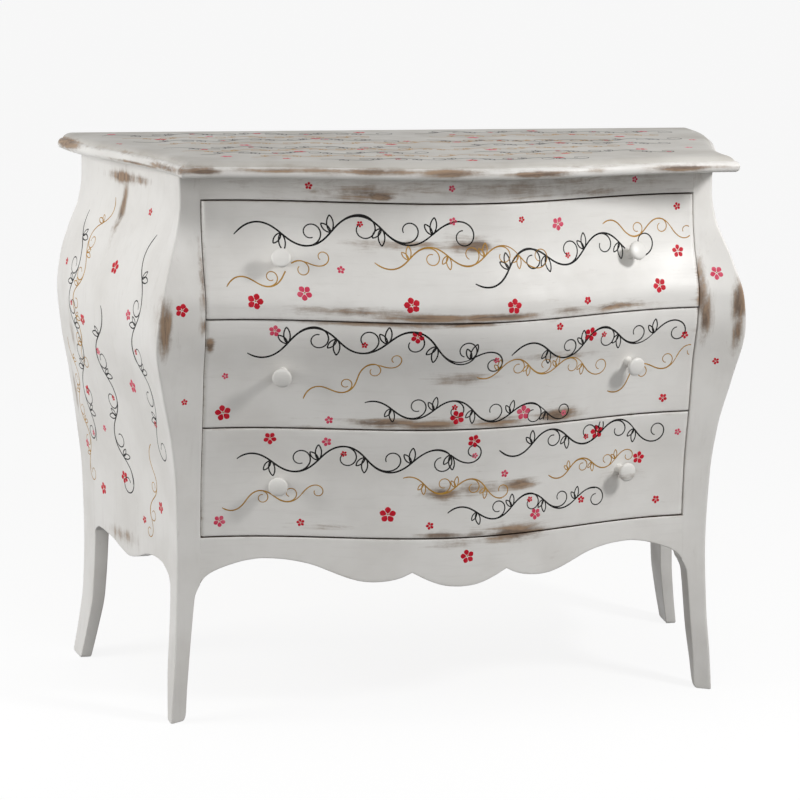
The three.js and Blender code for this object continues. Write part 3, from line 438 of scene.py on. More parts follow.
def board(name, along, lower, upper, thickness, radius, place, body, end_radius=0.0,
          edge_wear=0.0, gap_above=False, gap_below=False, step=6.0, materials=DRAWER_FINISHES_AND_GAP_SHADE,
          **more):
    """A board that follows a curved face. Each station along it has a loop round the board: a
    core rectangle, set in by the radius, plus the radius times the unit direction outwards, so
    all its long edges are round. Its lower and upper edges are heights, or functions that
    give them along it. With an end radius, the outer face falls back by a quarter
    circle at both ends. Edges beside a gap take dark brown wood as painted shade, not paint."""
    fall_back = np.zeros(len(along))
    if end_radius:
        turn = np.linspace(0, np.pi / 2, 8)
        drop = end_radius * (1 - np.cos(turn))
        middle = along[np.abs(along - along.mean()) < np.ptp(along) / 2 - end_radius - 2]
        along = np.concatenate([along[0] + drop, middle, (along[-1] - drop)[::-1]])
        curved = end_radius * (1 - np.sin(turn))
        fall_back = np.concatenate([curved, 0 * middle, curved[::-1]])
    low, high = (edge(along) if callable(edge) else np.full(len(along), edge)
                 for edge in (lower, upper))
    arc = np.linspace(0, np.pi / 2, 5)
    rise = np.linspace(0, 1, max(int((high - low).max() / step), 4) + 1)
    fall = np.linspace(1, 0, 9)
    # The loop goes up the outer face, over the top, down the inner face and under the board
    share = np.concatenate([rise, np.ones(2 * len(arc) - 2), fall, np.zeros(2 * len(arc) - 2)])
    outer_count = len(rise) + len(arc) - 1
    deep = np.zeros(len(share))
    deep[outer_count:outer_count + 2 * len(arc) - 2 + len(fall)] = 1
    angle = np.concatenate([np.full(len(rise), np.pi), np.pi - arc[1:], np.pi / 2 - arc[:-1],
                            np.zeros(len(fall)), -arc[1:], -np.pi / 2 - arc[:-1]])
    core_low, core_high = (low + radius)[:, None], (high - radius)[:, None]
    height = core_low + (core_high - core_low) * share + radius * np.sin(angle)
    depth = radius + (thickness - 2 * radius) * deep + radius * np.cos(angle)
    depth = fall_back[:, None] + (1 - fall_back[:, None] / thickness) * depth
    rows, columns = height.shape
    spread = np.broadcast_to(along[:, None], height.shape)
    near = np.minimum(np.abs(height - low[:, None]), np.abs(high[:, None] - height))
    if end_radius:
        near = np.minimum(near, np.minimum(spread - along[0], along[-1] - spread))
    worn = edge_wear * np.clip(1 - near / EDGE_WEAR_WIDTH, 0, 1) * (depth < thickness / 2)
    # Faces beside a gap, and a board's two ends when it has a gap above, take dark wood as painted
    # shade
    kind = ((deep > 0.5) & (np.roll(deep, -1) > 0.5)).astype(int)
    over, under = np.flatnonzero(deep != np.roll(deep, -1))
    kind[over], kind[under] = 2 * gap_above, 2 * gap_below
    kinds = np.concatenate([np.tile(kind, rows - 1), [2 * gap_above] * 2])
    return make_piece(name, place(spread, depth, height), loop_faces(rows, columns), body,
                      materials, inner=kinds, worn=worn, **more)


def front_place(x, depth, z):
    """On the front: the waving face, moved straight back by the depth."""
    return np.stack([x, front_y(x, z) + depth, z], axis=-1)


def side_place(sign):
    """On a side: the swelling face, moved straight in by the depth."""
    return lambda y, depth, z: np.stack([sign * (side_x(y, z) - depth), y, z], axis=-1)


def corner_cut(start, corner, end, count):
    """A rounded corner: the quadratic curve from start to end that leans to the corner."""
    s = np.linspace(0, 1, count + 2)[1:-1, None, None]
    return (1 - s) ** 2 * start + 2 * s * (1 - s) * corner + s ** 2 * end


def between(start, end, count):
    """Rows of evenly spaced values from start to end, with a column for each level."""
    return start + (end - start) * np.linspace(0, 1, count)[:, None]


def run(x, y):
    """One stretch of a post's loop, as an array of place, level, and X and Y."""
    return np.stack(np.broadcast_arrays(x, y), axis=-1)


def rounded_loop(*parts):
    """A closed loop. Each part holds a stretch, the corner after it, and the number of points
    that round this corner."""
    loop = []
    for (stretch, corner, count), (after, *_) in zip(parts, parts[1:] + parts[:1]):
        loop += [stretch, corner_cut(stretch[-1], corner, after[0], count)]
    return np.concatenate(loop)


def post(hand, end, rings, levels, bare, bare_from):
    """A post from its loops, one for each level. The lowest levels are drawn in towards their
    middle as a quarter ellipse, which rounds the foot. The columns of the slice named bare are
    raw wood from a level up."""
    lift = np.clip(levels / FOOT_ROUNDING, 0, 1)
    shrink = FOOT_SHARE + (1 - FOOT_SHARE) * np.sqrt(1 - (1 - lift) ** 2)
    middle = rings.mean(axis=0, keepdims=True)
    rings = (middle + (rings - middle) * shrink[None, :, None]).transpose(1, 0, 2)
    rows, columns = rings.shape[:2]
    z = np.broadcast_to(levels[:, None], (rows, columns))
    points = np.stack([SIGNS[hand] * rings[..., 0], rings[..., 1], z], axis=-1)
    kinds = np.zeros((rows - 1, columns), int)
    kinds[levels[:-1] >= bare_from, bare] = 1
    return make_piece(f"{hand}_{end}_stile_and_leg", points, loop_faces(rows, columns),
                      "carcass", POST_FINISHES, replaces=[f"{hand}_{end}_post"],
                      inner=np.concatenate([kinds.ravel(), [0, 0]]))


# The columns of the posts' loops that are bare wood: the back of a front post, from the corner
# of the side to the inner one, and the inner face of a rear post
FRONT_BARE, REAR_BARE = slice(35, 41), slice(21, 35)


def front_post(hand):
    """Front post: its loop runs along the waving front, round the arris, along the swelling
    side, across the back and along the inner face, at levels from the floor to the top."""
    levels = np.concatenate([FOOT_LEVELS, stations(5, 8, 226, FRONT_BARE_FROM, UNDER_TOP, step=6)])
    inner = OPENING_HALF + front_leg_inner(levels)
    back = -front_leg_back(levels)
    arris_x, arris_y = arris_half_width(levels), -arris_depth(levels)
    roll = np.minimum(ARRIS_ROUNDING, ARRIS_ROUNDING_SHARE * (arris_x - inner))
    # Edges that meet another painted piece stay sharp, so that no groove shows there
    free = np.clip((FRONT_LEG_TOP - levels) / LEG_FADE, 0, 1)
    beside_drawer = (np.clip((levels - DRAWERS_FROM) / DRAWER_FADE, 0, 1)
                     * np.clip((DRAWERS_TO - levels) / DRAWER_FADE, 0, 1))
    inner_round = SHARP + INNER_ROUNDING * np.maximum(free, beside_drawer)
    back_round = SHARP + LEG_ROUNDING * free
    outer, face = side_x(back, levels), front_y(inner, levels)
    x = between(inner + inner_round, arris_x - roll, 12)
    y = between(arris_y + roll, back - back_round, 14)
    rings = rounded_loop(
        (run(x, front_y(x, levels)), run(arris_x, arris_y), 7),
        (run(side_x(y, levels), y), run(outer, back), 2),
        (run(between(outer - back_round, inner + back_round, 4), back), run(inner, back), 2),
        (run(inner, between(back - back_round, face + inner_round, 5)), run(inner, face), 2))
    return post(hand, "front", rings, levels, FRONT_BARE, FRONT_BARE_FROM)


def rear_post(hand):
    """Rear post: the loop runs along the outer face and back along one the thickness inside."""
    levels = np.concatenate([FOOT_LEVELS, stations(5, 8, 236, REAR_BARE_FROM, UNDER_TOP, step=6)])
    front, rear = -rear_leg_front(levels), -REAR_POST_INSET
    thick, turn = rear_thickness(levels), REAR_FACE_ROUNDING
    front_turn = SHARP + REAR_LEG_ROUNDING * np.clip((REAR_LEG_TOP - levels) / LEG_FADE, 0, 1)
    rear_x, front_x = side_x(rear, levels), side_x(front, levels)
    y = between(front + front_turn, rear - turn, 12)
    rings = rounded_loop(
        (run(side_x(y, levels), y), run(rear_x, rear), 3),
        (run(between(rear_x - turn, rear_x - thick + turn, 3), rear), run(rear_x - thick, rear), 3),
        (run(side_x(y[::-1], levels) - thick, y[::-1]), run(front_x - thick, front), 3),
        (run(between(front_x - thick + front_turn, front_x - front_turn, 3), front),
         run(front_x, front), 3))
    return post(hand, "rear", rings, levels, REAR_BARE, REAR_BARE_FROM)


def top_plan():
    """The plan of the top from its left rear corner to its right one, and for each point the
    way it moves for each millimetre of inset. Near a front corner that way shrinks to it."""
    corner = np.array([float(top_half_width(DEPTH - TOP_BOW)), -(DEPTH - TOP_BOW)])
    depth = stations(0, -corner[1] - TOP_CORNER_REACH, step=7)
    side = np.stack([top_half_width(depth), -depth], axis=-1)
    x = stations(corner[0] - TOP_CORNER_REACH, 0, step=7)
    bow = -corner[1] + TOP_BOW * half_wave(x, corner[0] - TOP_CORNER_LAND)
    front = np.stack([x, -bow], axis=-1)
    to_side, to_front = side[-1] - corner, front[0] - corner
    near_side, near_front = (corner + TOP_TIP_SHARE * way for way in (to_side, to_front))
    tip = np.concatenate([[corner + 0.5 * to_side, near_side],
                          corner_cut(near_side, corner, near_front, 4)[:, 0],
                          [near_front, corner + 0.5 * to_front]])
    half = np.concatenate([side, tip, front])
    step = np.diff(half, axis=0)
    inwards = np.stack([step[:, 1], -step[:, 0]], axis=-1)
    inwards /= np.linalg.norm(inwards, axis=1)[:, None]
    before, after = inwards[:-1], inwards[1:]
    move = (before + after) / (1 + (before * after).sum(axis=1))[:, None]
    move = np.concatenate([[[-1.0, 0.0]], move, [[0.0, 1.0]]])
    a, b = inwards[len(side) - 2], inwards[len(side) + len(tip)]
    mitre = (a + b) / (1 + (a * b).sum())
    near = slice(len(side), len(side) + len(tip))
    move[near] = mitre - (half[near] - corner) / TOP_CORNER_REACH
    mirror = np.array([-1, 1])
    return (np.concatenate([half * mirror, half[-2::-1]]),
            np.concatenate([move * mirror, move[-2::-1]]))


# The moulding's bead, as its heights and insets below and above its middle, and the notch and
# lip over it, as pairs of an inset from the edge and a height
BEAD_MIDDLE, BEAD_TURN, BEAD_STEPS = 7.5, (-90, 75), 15
BEAD_HEIGHTS, BEAD_INSETS = (7.5, 10), (7, 8)
LIP = [(7, 17.5), (8, 17.6), (8.3, 18), (8.7, 18.8), (9.6, 20.1), (11.1, 21.7), (13, 23.1),
       (15.2, 24.3), (17.6, 25.1), (20.4, 25.7), (24, TOP_THICKNESS)]
BEAD_WEAR, BEAD_WEAR_HEIGHT, ROWS_ACROSS, PALE_COLUMNS = 0.28, 16.5, 95, 16


def top_slab():
    """The top: its moulding's profile is carried along the plan, set in along each point's own
    way. Each loop goes up the left moulding, straight over to the right one, down it and back
    below. The last loop is the profile in the middle of the front, there and back."""
    line, move = top_plan()
    bead = np.radians(np.linspace(*BEAD_TURN, BEAD_STEPS))
    lip_inset, lip_height = np.array(LIP).T
    inset = np.concatenate([np.where(bead < 0, *BEAD_INSETS) * (1 - np.cos(bead)), lip_inset])
    height = np.concatenate([BEAD_MIDDLE + np.where(bead < 0, *BEAD_HEIGHTS) * np.sin(bead),
                             lip_height])
    plan = line[:, None, :] + move[:, None, :] * inset[None, :, None]
    level = np.broadcast_to(UNDER_TOP + height, plan.shape[:2])
    rim = np.concatenate([plan, level[..., None]], axis=-1)
    columns, half = len(height), len(line) // 2
    left, right = rim[:half], rim[:half:-1, ::-1]
    share = np.linspace(0, 1, ROWS_ACROSS + 2)[1:-1, None]
    over, under = (start[:, -1:] + (end[:, :1] - start[:, -1:]) * share
                   for start, end in ((left, right), (right, left)))
    loops = np.concatenate([left, over, right, under], axis=1)
    rows = np.arange(loops[..., 0].size).reshape(half, -1)
    up, flat = rows.size + np.arange(columns), np.ones(ROWS_ACROSS, int)
    last = np.concatenate([up, up[-1] * flat, up[::-1], up[0] * flat])
    # A face whose corners meet in the last loop keeps each of them once
    faces = [list(dict.fromkeys(face)) for face in grid_faces(np.vstack([rows, last]))]
    # The top face and the lip take the top paint, darkened as painted shade; the bead's columns and
    # the underside take the ivory
    pale = np.arange(columns) < PALE_COLUMNS
    kinds = np.tile(np.concatenate([pale, 0 * flat, pale[-2::-1], [1], flat]), half)
    near = BEAD_WEAR * np.clip(1 - np.abs(height - BEAD_WEAR_HEIGHT) / EDGE_WEAR_WIDTH, 0, 1)
    worn = np.append(np.tile(np.concatenate([near, 0 * flat, near[::-1], 0 * flat]), half), near)
    return make_piece("moulded_top", np.concatenate([loops.reshape(-1, 3), rim[half]]),
                      faces + [rows[0, ::-1].tolist()], "carcass", (top_paint, ivory_paint),
                      replaces=["top_panel"], slot="top_paint", worn=worn,
                      inner=np.append(kinds, 1))


def slopes(face, u, v):
    """How much a face's place rises for each millimetre along u, and along v."""
    return (face(u + 1, v) - face(u - 1, v)) / 2, (face(u, v + 1) - face(u, v - 1)) / 2


def knob_frame(x, z):
    """The frame of a knob, whose out is square to the front, side is level, and up completes
    them, and its place on the front."""
    slope_x, slope_z = slopes(front_y, x, z)
    out = np.array([slope_x, -1.0, slope_z])
    out /= np.linalg.norm(out)
    side = np.cross([0, 0, 1], out)
    side /= np.linalg.norm(side)
    return np.array([side, np.cross(out, side), out]), np.array([x, float(front_y(x, z)), z])


def turned(profile, steps, turn, at):
    """A turned shape: each radius and distance of the profile goes round the axis, and the
    frame's three directions set it square to the front."""
    angle = np.arange(steps) * 2 * np.pi / steps
    radius, away = np.array(profile).T
    local = np.stack([radius[:, None] * np.cos(angle), radius[:, None] * np.sin(angle),
                      np.broadcast_to(away[:, None], (len(radius), steps))], axis=-1)
    return local.reshape(-1, 3) @ turn + at


# Shares of the knob's radius and of its length, from its base to its tip
KNOB_OUTLINE_SHARES = [
    (0.523, 0), (0.484, 0.097), (0.399, 0.26), (0.412, 0.422), (0.562, 0.584), (0.8235, 0.698),
    (0.98, 0.766), (1, 0.844), (0.889, 0.929), (0.62, 0.972), (0.34, 0.992), (0.1, 1)]
KNOB_LOOPS, KNOB_STEPS, SEAT_STEPS = 45, 40, 32


def knob(name, x, z, body):
    """A turned knob. Its outline is a smooth curve through radii and distances from its base."""
    t = np.linspace(0, len(KNOB_OUTLINE_SHARES) - 1, KNOB_LOOPS)
    radius, away = (through(list(enumerate(shares)), 1, size)(t) for shares, size in
                    zip(zip(*KNOB_OUTLINE_SHARES), (KNOB_RADIUS, KNOB_LENGTH)))
    points = turned(np.stack([radius, away + KNOB_LIFT], axis=-1), KNOB_STEPS, *knob_frame(x, z))
    return make_piece(name, points, loop_faces(KNOB_LOOPS, KNOB_STEPS), body, (knob_paint,),
                      replaces=[name.replace("_turned", "")], slot="knob_paint")


def cut_recess(piece, x, z):
    """Sinks the round seat of a screw's head into the inner face of a drawer front."""
    turn, at = knob_frame(x, z)
    lean = abs(turn[2][1])
    profile = [(SCREW_RECESS_RADIUS, -FRONT_THICKNESS / lean - CUT_OVERRUN),
               (SCREW_RECESS_RADIUS, -FRONT_THICKNESS * lean + SCREW_RECESS_DEPTH)]
    points = (turned(profile, SEAT_STEPS, turn, at) + TO_MIDDLE) / MM
    faces = [face[::-1] for face in loop_faces(2, SEAT_STEPS)]
    cutter = new_object("screw_seat", points, faces, (ivory_paint, wood_across), [1] * len(faces))
    cut = piece.modifiers.new("seat", "BOOLEAN")
    cut.object, cut.operation, cut.solver = cutter, "DIFFERENCE", "EXACT"
    bpy.context.view_layer.update()
    done = bpy.data.meshes.new_from_object(
        piece.evaluated_get(bpy.context.evaluated_depsgraph_get()))
    piece.modifiers.clear()
    piece.data = done
    bpy.data.objects.remove(cutter)


# The pieces
def drawer_places():
    """Each drawer's name, the heights of its front's two edges, and the height of its knobs."""
    for body, under, over, share in zip(DRAWERS, JOINTS[1:], JOINTS[:-1], KNOB_HEIGHT_SHARES):
        low, high = under + JOINT_WIDTH / 2, over - JOINT_WIDTH / 2
        yield body, low, high, low + share * (high - low)


for body, low, high, height in drawer_places():
    front = board(f"{body}_painted_front",
                  stations(-DRAWER_HALF - LEFT_END_EXTRA, DRAWER_HALF + RIGHT_END_EXTRA, step=5),
                  low, high, FRONT_THICKNESS + PROUD[body], DRAWER_ROUNDING,
                  lambda x, depth, z: front_place(x, depth - PROUD[body], z), f"{body}_drawer",
                  end_radius=DRAWER_END_ROUNDING, edge_wear=DRAWER_EDGE_WEAR, gap_above=True,
                  gap_below=True, step=4, replaces=[f"{body}_drawer_front"])
    for hand, sign in SIGNS.items():
        knob(f"{body}_drawer_{hand}_knob_turned", sign * KNOB_DISTANCE, height, f"{body}_drawer")
        cut_recess(front, sign * KNOB_DISTANCE, height)

cusp = CUSP[0] * OPENING_HALF
board("top_waving_rail", stations(-OPENING_HALF, OPENING_HALF, step=6),
      JOINTS[0] + JOINT_WIDTH / 2, UNDER_TOP, FRONT_THICKNESS, RAIL_ROUNDING, front_place,
      "carcass", edge_wear=FRAME_EDGE_WEAR, gap_below=True, replaces=["top_rail"])
board("scalloped_apron", stations(-OPENING_HALF, -cusp, cusp, OPENING_HALF, step=5),
      lambda x: np.where(np.abs(x) < cusp, apron_middle(np.abs(x)), apron_outer(np.abs(x))),
      JOINTS[3] - JOINT_WIDTH / 2, FRONT_THICKNESS, APRON_ROUNDING, front_place, "carcass",
      edge_wear=FRAME_EDGE_WEAR, gap_above=True, replaces=["front_apron"])
for hand, sign in SIGNS.items():
    front_post(hand)
    rear_post(hand)
    board(f"{hand}_swelling_side", stations(-POST_BACK, -REAR_POST_DEPTH, step=6),
          lambda y: side_lower_edge(-y - REAR_POST_DEPTH), UNDER_TOP, SIDE_THICKNESS,
          SIDE_ROUNDING, side_place(sign), "carcass", materials=POST_FINISHES,
          replaces=[f"{hand}_side_panel"])
top_slab()


# The painted pattern: stems, curls, leaves and blossoms, each a thin raised stroke
def lifted(face, u, v, lift):
    """Places of a face, which tells how far out it is at u and v, moved square to it."""
    slope_u, slope_v = slopes(face, u, v)
    out = lift / np.sqrt(1 + slope_u ** 2 + slope_v ** 2)
    return u - out * slope_u, face(u, v) + out, v - out * slope_v


def front_surface(u, v, lift):
    """The place on the front at X of u and Z of v."""
    x, out, z = lifted(lambda x, z: -front_y(x, z), u, v, lift)
    return np.stack([x, -out, z], axis=-1)


def side_surface(sign):
    """The places on a side at Y of u and Z of v."""
    def surface(u, v, lift):
        y, out, z = lifted(side_x, u, v, lift)
        return np.stack([sign * out, y, z], axis=-1)
    return surface


def top_surface(u, v, lift):
    """The place on the top at X of u and Y of v, lifted straight up."""
    return np.stack([u, v, HEIGHT + lift + 0 * u], axis=-1)


# How far the pattern keeps from ends, edges, knobs and mouldings
END_MARGIN, EDGE_MARGIN, KNOB_MARGIN = 6, 5, 12
ARRIS_MARGIN, REAR_MARGIN, LOWER_MARGIN, UPPER_MARGIN = 14, 10, 8, 10
TOP_SIDE_MARGIN, TOP_REAR_MARGIN, TOP_FRONT_MARGIN, TOP_WAVE_EXTRA = 25, 8, 26, 38


def on_drawer(low, high, knob_height):
    """Tells which places of a front are clear of its edges and knobs."""
    def clear(u, v):
        away = np.hypot(np.abs(u) - KNOB_DISTANCE, v - knob_height)
        return ((np.abs(u) < DRAWER_HALF - END_MARGIN) & (v > low + EDGE_MARGIN)
                & (v < high - EDGE_MARGIN) & (away > KNOB_MARGIN))
    return clear


def on_side(u, v):
    """Tells which places of a side are clear of its edges."""
    lower = side_lower_edge(np.clip(-u - REAR_POST_DEPTH, 0, POST_BACK - REAR_POST_DEPTH))
    return ((u > -arris_depth(v) + ARRIS_MARGIN) & (u < -REAR_MARGIN)
            & (v > lower + LOWER_MARGIN) & (v < UNDER_TOP - UPPER_MARGIN))


def on_top(u, v):
    """Tells which places of the top are clear of its moulding."""
    bow = DEPTH - TOP_BOW + TOP_BOW * half_wave(u, WAVE_HALF + TOP_WAVE_EXTRA)
    return ((np.abs(u) < top_half_width(-v) - TOP_SIDE_MARGIN) & (v < -TOP_REAR_MARGIN)
            & (v > -bow + TOP_FRONT_MARGIN))


STEM_STEP, CURL_STEP, SHORTEST_STROKE, BUD_SIZE = 2.4, 2.2, 5, 9.5
# Shares of a stroke's width, from side to side, and how far it is raised there
STROKE_ACROSS, STROKE_RAISED = (-0.5, -0.275, 0, 0.275, 0.5), (-0.06, 0.13, 0.2, 0.13, -0.06)
# How far each leaf of a pair leans, in radians, and shares of a wave for its length and width
LEAF_SHARES = ((0.75, 0.15, 0.055), (1.5, 0.11, 0.045))


def trail(start, heading, step):
    """The path of a brush: from its start, each step goes along its heading."""
    moves = step * np.stack([np.cos(heading), np.sin(heading)], axis=-1)
    return np.concatenate([[start], np.array(start) + np.cumsum(moves, axis=0)])


def curl(start, heading, length, turn, width):
    """A tendril: its heading turns by the square of the share of its length, so that it
    tightens to a spiral, and the stroke thins towards its end."""
    share = np.linspace(0, 1, int(length / CURL_STEP))
    path = trail(start, heading + turn * share ** 2, length / len(share))
    return path, width * np.interp(np.linspace(0, 1, len(path)), [0, 0.5, 1], [1, 0.92, 0.7])


def leaf(start, heading, length, width, line):
    """The outline of a leaf: out along one bow and back along the other, with pointed ends."""
    t = np.linspace(0, 2 * np.pi, 26)
    along = length * (1 - np.cos(t)) / 2
    across = width / 2 * np.sign(np.sin(t)) * np.abs(np.sin(t)) ** 1.6
    turned_to = np.array([[math.cos(heading), math.sin(heading)],
                          [-math.sin(heading), math.cos(heading)]])
    return np.array(start) + np.stack([along, across], axis=-1) @ turned_to, np.full(26, line)


def petal(start, heading, length, width):
    """One press of a round brush: narrow at its start and full before its end."""
    t = np.linspace(0, 1, 11)
    path = trail(start, np.full(10, heading), length / 10)
    return path, width * (0.12 + 0.88 * np.sin(np.pi * t ** 1.25) ** 0.7)


def blossom(at, size, turn):
    """Five petals round a middle that stays free."""
    strokes = []
    for angle in turn + np.arange(5) * 2 * np.pi / 5:
        start = (at[0] + 0.09 * size * math.cos(angle), at[1] + 0.09 * size * math.sin(angle))
        strokes.append(petal(start, angle, 0.45 * size, 0.45 * size))
    return strokes


def vine(start, heading, length, swing, wave, line, phase, leaves=True):
    """A flowing stem whose heading swings to and fro. In each bow a curl leaves it and winds
    up inside the bow, and a pair of leaves stands on the other side. Gives the strokes and
    the places where the curls end."""
    s = np.arange(0, length, STEM_STEP)
    level = 2 * np.pi * s / wave + phase
    slow = 0.12 * np.sin(s / 97 + 2 * phase)
    headings = heading + swing * np.cos(level) + slow
    path = trail(start, headings, STEM_STEP)
    ends = [0, 0.03, 0.8, 1]
    widths = line * np.interp(np.linspace(0, 1, len(path)), ends, [0.6, 1, 1, 0.5])
    strokes, tips = [(path, widths)], []
    turns = np.arange(math.ceil(phase / np.pi), math.floor(level[-1] / np.pi + 0.35) + 1)
    for count, k in enumerate(turns):
        at = int(np.clip((k * np.pi - phase) * wave / (2 * np.pi) / STEM_STEP, 0, len(path) - 2))
        base = headings[min(at, len(headings) - 1)]
        way = math.copysign(1, -swing) * (1 if k % 2 == 0 else -1)
        reach = wave * (0.74 + 0.1 * math.sin(2.3 * count + phase))
        stroke = curl(path[at], base, reach, way * (6.6 + 0.7 * math.cos(1.7 * count)),
                      0.9 * line)
        strokes.append(stroke)
        tips.append(stroke[0][-1])
        for lean, long, wide in LEAF_SHARES if leaves else ():
            strokes.append(leaf(path[at], base - way * lean, long * wave, wide * wave,
                                0.75 * line))
    return strokes, tips


def raise_strokes(name, body, surface, clear, strokes, material):
    """Makes one piece of the strokes. Each is a thin closed ribbon with a domed top, sunk a
    little into the face, and it is kept only where it is clear of edges and knobs."""
    points, faces, start = [], [], 0
    for path, widths in strokes:
        kept = clear(path[:, 0], path[:, 1])
        edges = np.flatnonzero(np.diff(np.concatenate([[0], kept.astype(int), [0]])))
        for first, last in zip(edges[::2], edges[1::2]):
            if last - first < SHORTEST_STROKE:
                continue
            way = np.gradient(path[first:last], axis=0)
            way /= np.linalg.norm(way, axis=1)[:, None] + 1e-9
            beside = np.stack([-way[:, 1], way[:, 0]], axis=-1)
            reach = widths[first:last, None] * STROKE_ACROSS
            u = path[first:last, 0, None] + beside[:, 0, None] * reach
            v = path[first:last, 1, None] + beside[:, 1, None] * reach
            points.append(surface(u, v, np.broadcast_to(STROKE_RAISED, u.shape)).reshape(-1, 3))
            faces += [[start + k for k in face] for face in loop_faces(*u.shape)]
            start += u.size
    if points:
        make_piece(name, np.concatenate(points), faces, body, (material,), smooth=60)


def paint_field(label, body, surface, clear, vines, ochre_vines, blooms, turn=0.0):
    """Paints a field: black vines, ochre vines, and red and pink blossoms and buds."""
    black, ochre, red, pink = [], [], [], []
    for row in vines:
        strokes, tips = vine(*row)
        black += strokes
        for count, tip in enumerate(tips):
            if count % 3 == 1:
                (red if count % 2 else pink).extend(blossom(tip, BUD_SIZE, turn + count))
    for row in ochre_vines:
        ochre += vine(*row)[0]
    for count, (u, v, size) in enumerate(blooms):
        shade = pink if count % 3 == 1 else red
        shade += blossom((u, v), size, turn + 0.9 * count)
        ochre.append(petal((u - 0.05 * size, v), 0.4, 0.13 * size, 0.12 * size))
    for word, strokes, material in (("black_vines", black, black_enamel),
                                    ("ochre_tendrils", ochre, ochre_enamel),
                                    ("red_blossoms", red, red_enamel),
                                    ("pink_blossoms", pink, pink_enamel)):
        if strokes:
            raise_strokes(f"{label}_{word}", body, surface, clear, strokes, material)


# Each vine: start, heading, length, swing, length of a wave, line width, phase, leaves
fields = {
    "upper": (
        [((-356, 780), -0.02, 380, 0.8, 176, 3.3, 0.2),
         ((0, 712), 0.1, 370, -0.78, 166, 3.3, 0.5)],
        [((-150, 742), -0.06, 270, -0.75, 136, 2.6, 0.4),
         ((-372, 702), 0.15, 150, 0.8, 110, 2.5, 0.3, False),
         ((236, 790), -0.1, 160, 0.85, 112, 2.5, 0.8, False)],
        [(-330, 680, 23), (-256, 694, 21), (-100, 680, 23), (62, 676, 23), (150, 796, 20),
         (334, 690, 22), (374, 741, 19), (-30, 806, 12), (196, 676, 12), (376, 812, 12),
         (-200, 730, 11), (84, 806, 10)]),
    "middle": (
        [((-340, 598), 0.0, 400, -0.8, 174, 3.3, 0.6),
         ((64, 596), 0.0, 310, 0.78, 156, 3.3, 0.1),
         ((-160, 520), 0.02, 350, 0.72, 146, 3.0, 1.2)],
        [((-252, 524), 0.35, 150, 0.85, 106, 2.5, 0.2, False),
         ((10, 562), -0.05, 220, -0.78, 120, 2.5, 0.9),
         ((250, 520), 0.25, 160, -0.8, 110, 2.5, 0.4, False)],
        [(-374, 500, 24), (-300, 634, 17), (-90, 630, 19), (-16, 496, 22), (96, 498, 23),
         (206, 620, 22), (356, 500, 14), (-212, 490, 12), (146, 638, 12), (384, 606, 12),
         (-372, 560, 10)]),
    "lower": (
        [((-350, 424), 0.07, 380, 0.8, 168, 3.3, 0.9),
         ((58, 438), -0.04, 310, -0.78, 150, 3.3, 0.3),
         ((-24, 338), 0.03, 300, 0.74, 138, 3.0, 0.7)],
        [((-96, 396), -0.08, 190, 0.78, 118, 2.5, 1.1),
         ((150, 388), -0.02, 150, -0.8, 104, 2.5, 0.4),
         ((-372, 344), 0.05, 150, -0.8, 104, 2.5, 0.5, False)],
        [(-300, 458, 19), (-214, 454, 14), (-118, 336, 24), (14, 456, 20), (128, 326, 18),
         (236, 452, 22), (320, 400, 20), (-376, 322, 18), (-52, 318, 12), (214, 340, 12),
         (388, 440, 11), (356, 326, 13), (-250, 320, 12), (70, 398, 12)])}
for turn, (body, low, high, height) in enumerate(drawer_places()):
    paint_field(f"{body}_drawer", f"{body}_drawer",
                lambda u, v, lift: front_surface(u, v, lift) - (0, PROUD[body], 0),
                on_drawer(low, high, height), *fields[body], turn=0.5 * turn)

paint_field("frame_front", "carcass", front_surface, lambda u, v: v > 0, [], [],
            [(-444, 668, 20), (436, 706, 20), (10, 266, 21), (-242, 856, 11), (-30, 856, 10),
             (442, 560, 11), (-436, 520, 10), (300, 857, 10)])
side_vines = [
    ((-352, 770), -1.7, 360, 0.8, 176, 3.3, 0.3),
    ((-226, 640), -1.6, 350, -0.8, 160, 3.2, 0.8),
    ((-86, 780), -1.52, 440, 0.76, 170, 3.1, 1.4)]
side_ochre = [
    ((-176, 810), -1.4, 300, -0.8, 130, 2.6, 0.5),
    ((-330, 430), -1.55, 150, 0.8, 110, 2.5, 0.2, False),
    ((-44, 560), -1.68, 260, 0.8, 124, 2.5, 1.0)]
side_blooms = [
    (-252, 706, 21), (-330, 640, 17), (-150, 606, 18), (-110, 480, 17), (-304, 520, 21),
    (-215, 352, 20), (-352, 330, 19), (-64, 380, 15), (-130, 315, 20), (-372, 470, 12),
    (-196, 560, 12), (-54, 690, 12), (-280, 294, 12), (-160, 424, 11), (-300, 800, 12)]
for hand, sign in SIGNS.items():
    paint_field(f"{hand}_side", "carcass", side_surface(sign), on_side, side_vines, side_ochre,
                side_blooms, turn=0.4)
top_vines = [
    ((-506, -70), 0.02, 520, 0.8, 150, 2.9, 0.4),
    ((30, -76), 0.0, 480, -0.8, 146, 2.9, 0.9),
    ((-470, -176), -0.02, 460, -0.8, 138, 2.8, 0.1),
    ((20, -190), 0.02, 480, 0.78, 142, 2.8, 1.6),
    ((-440, -290), 0.0, 440, 0.8, 144, 2.8, 0.8),
    ((30, -300), 0.03, 430, -0.8, 138, 2.8, 0.3),
    ((-400, -396), 0.0, 400, -0.8, 134, 2.8, 1.2),
    ((40, -404), -0.02, 380, 0.78, 140, 2.8, 0.6),
    ((-230, -488), 0.02, 470, 0.7, 130, 2.7, 1.3)]
top_ochre = [
    ((-480, -122), 0.02, 470, 0.8, 116, 2.6, 0.6),
    ((40, -132), -0.02, 450, -0.8, 112, 2.6, 0.2),
    ((-440, -232), 0.0, 880, -0.8, 118, 2.6, 1.0),
    ((-420, -344), 0.0, 820, 0.8, 112, 2.6, 0.4),
    ((-330, -446), 0.0, 640, -0.78, 116, 2.6, 1.4)]
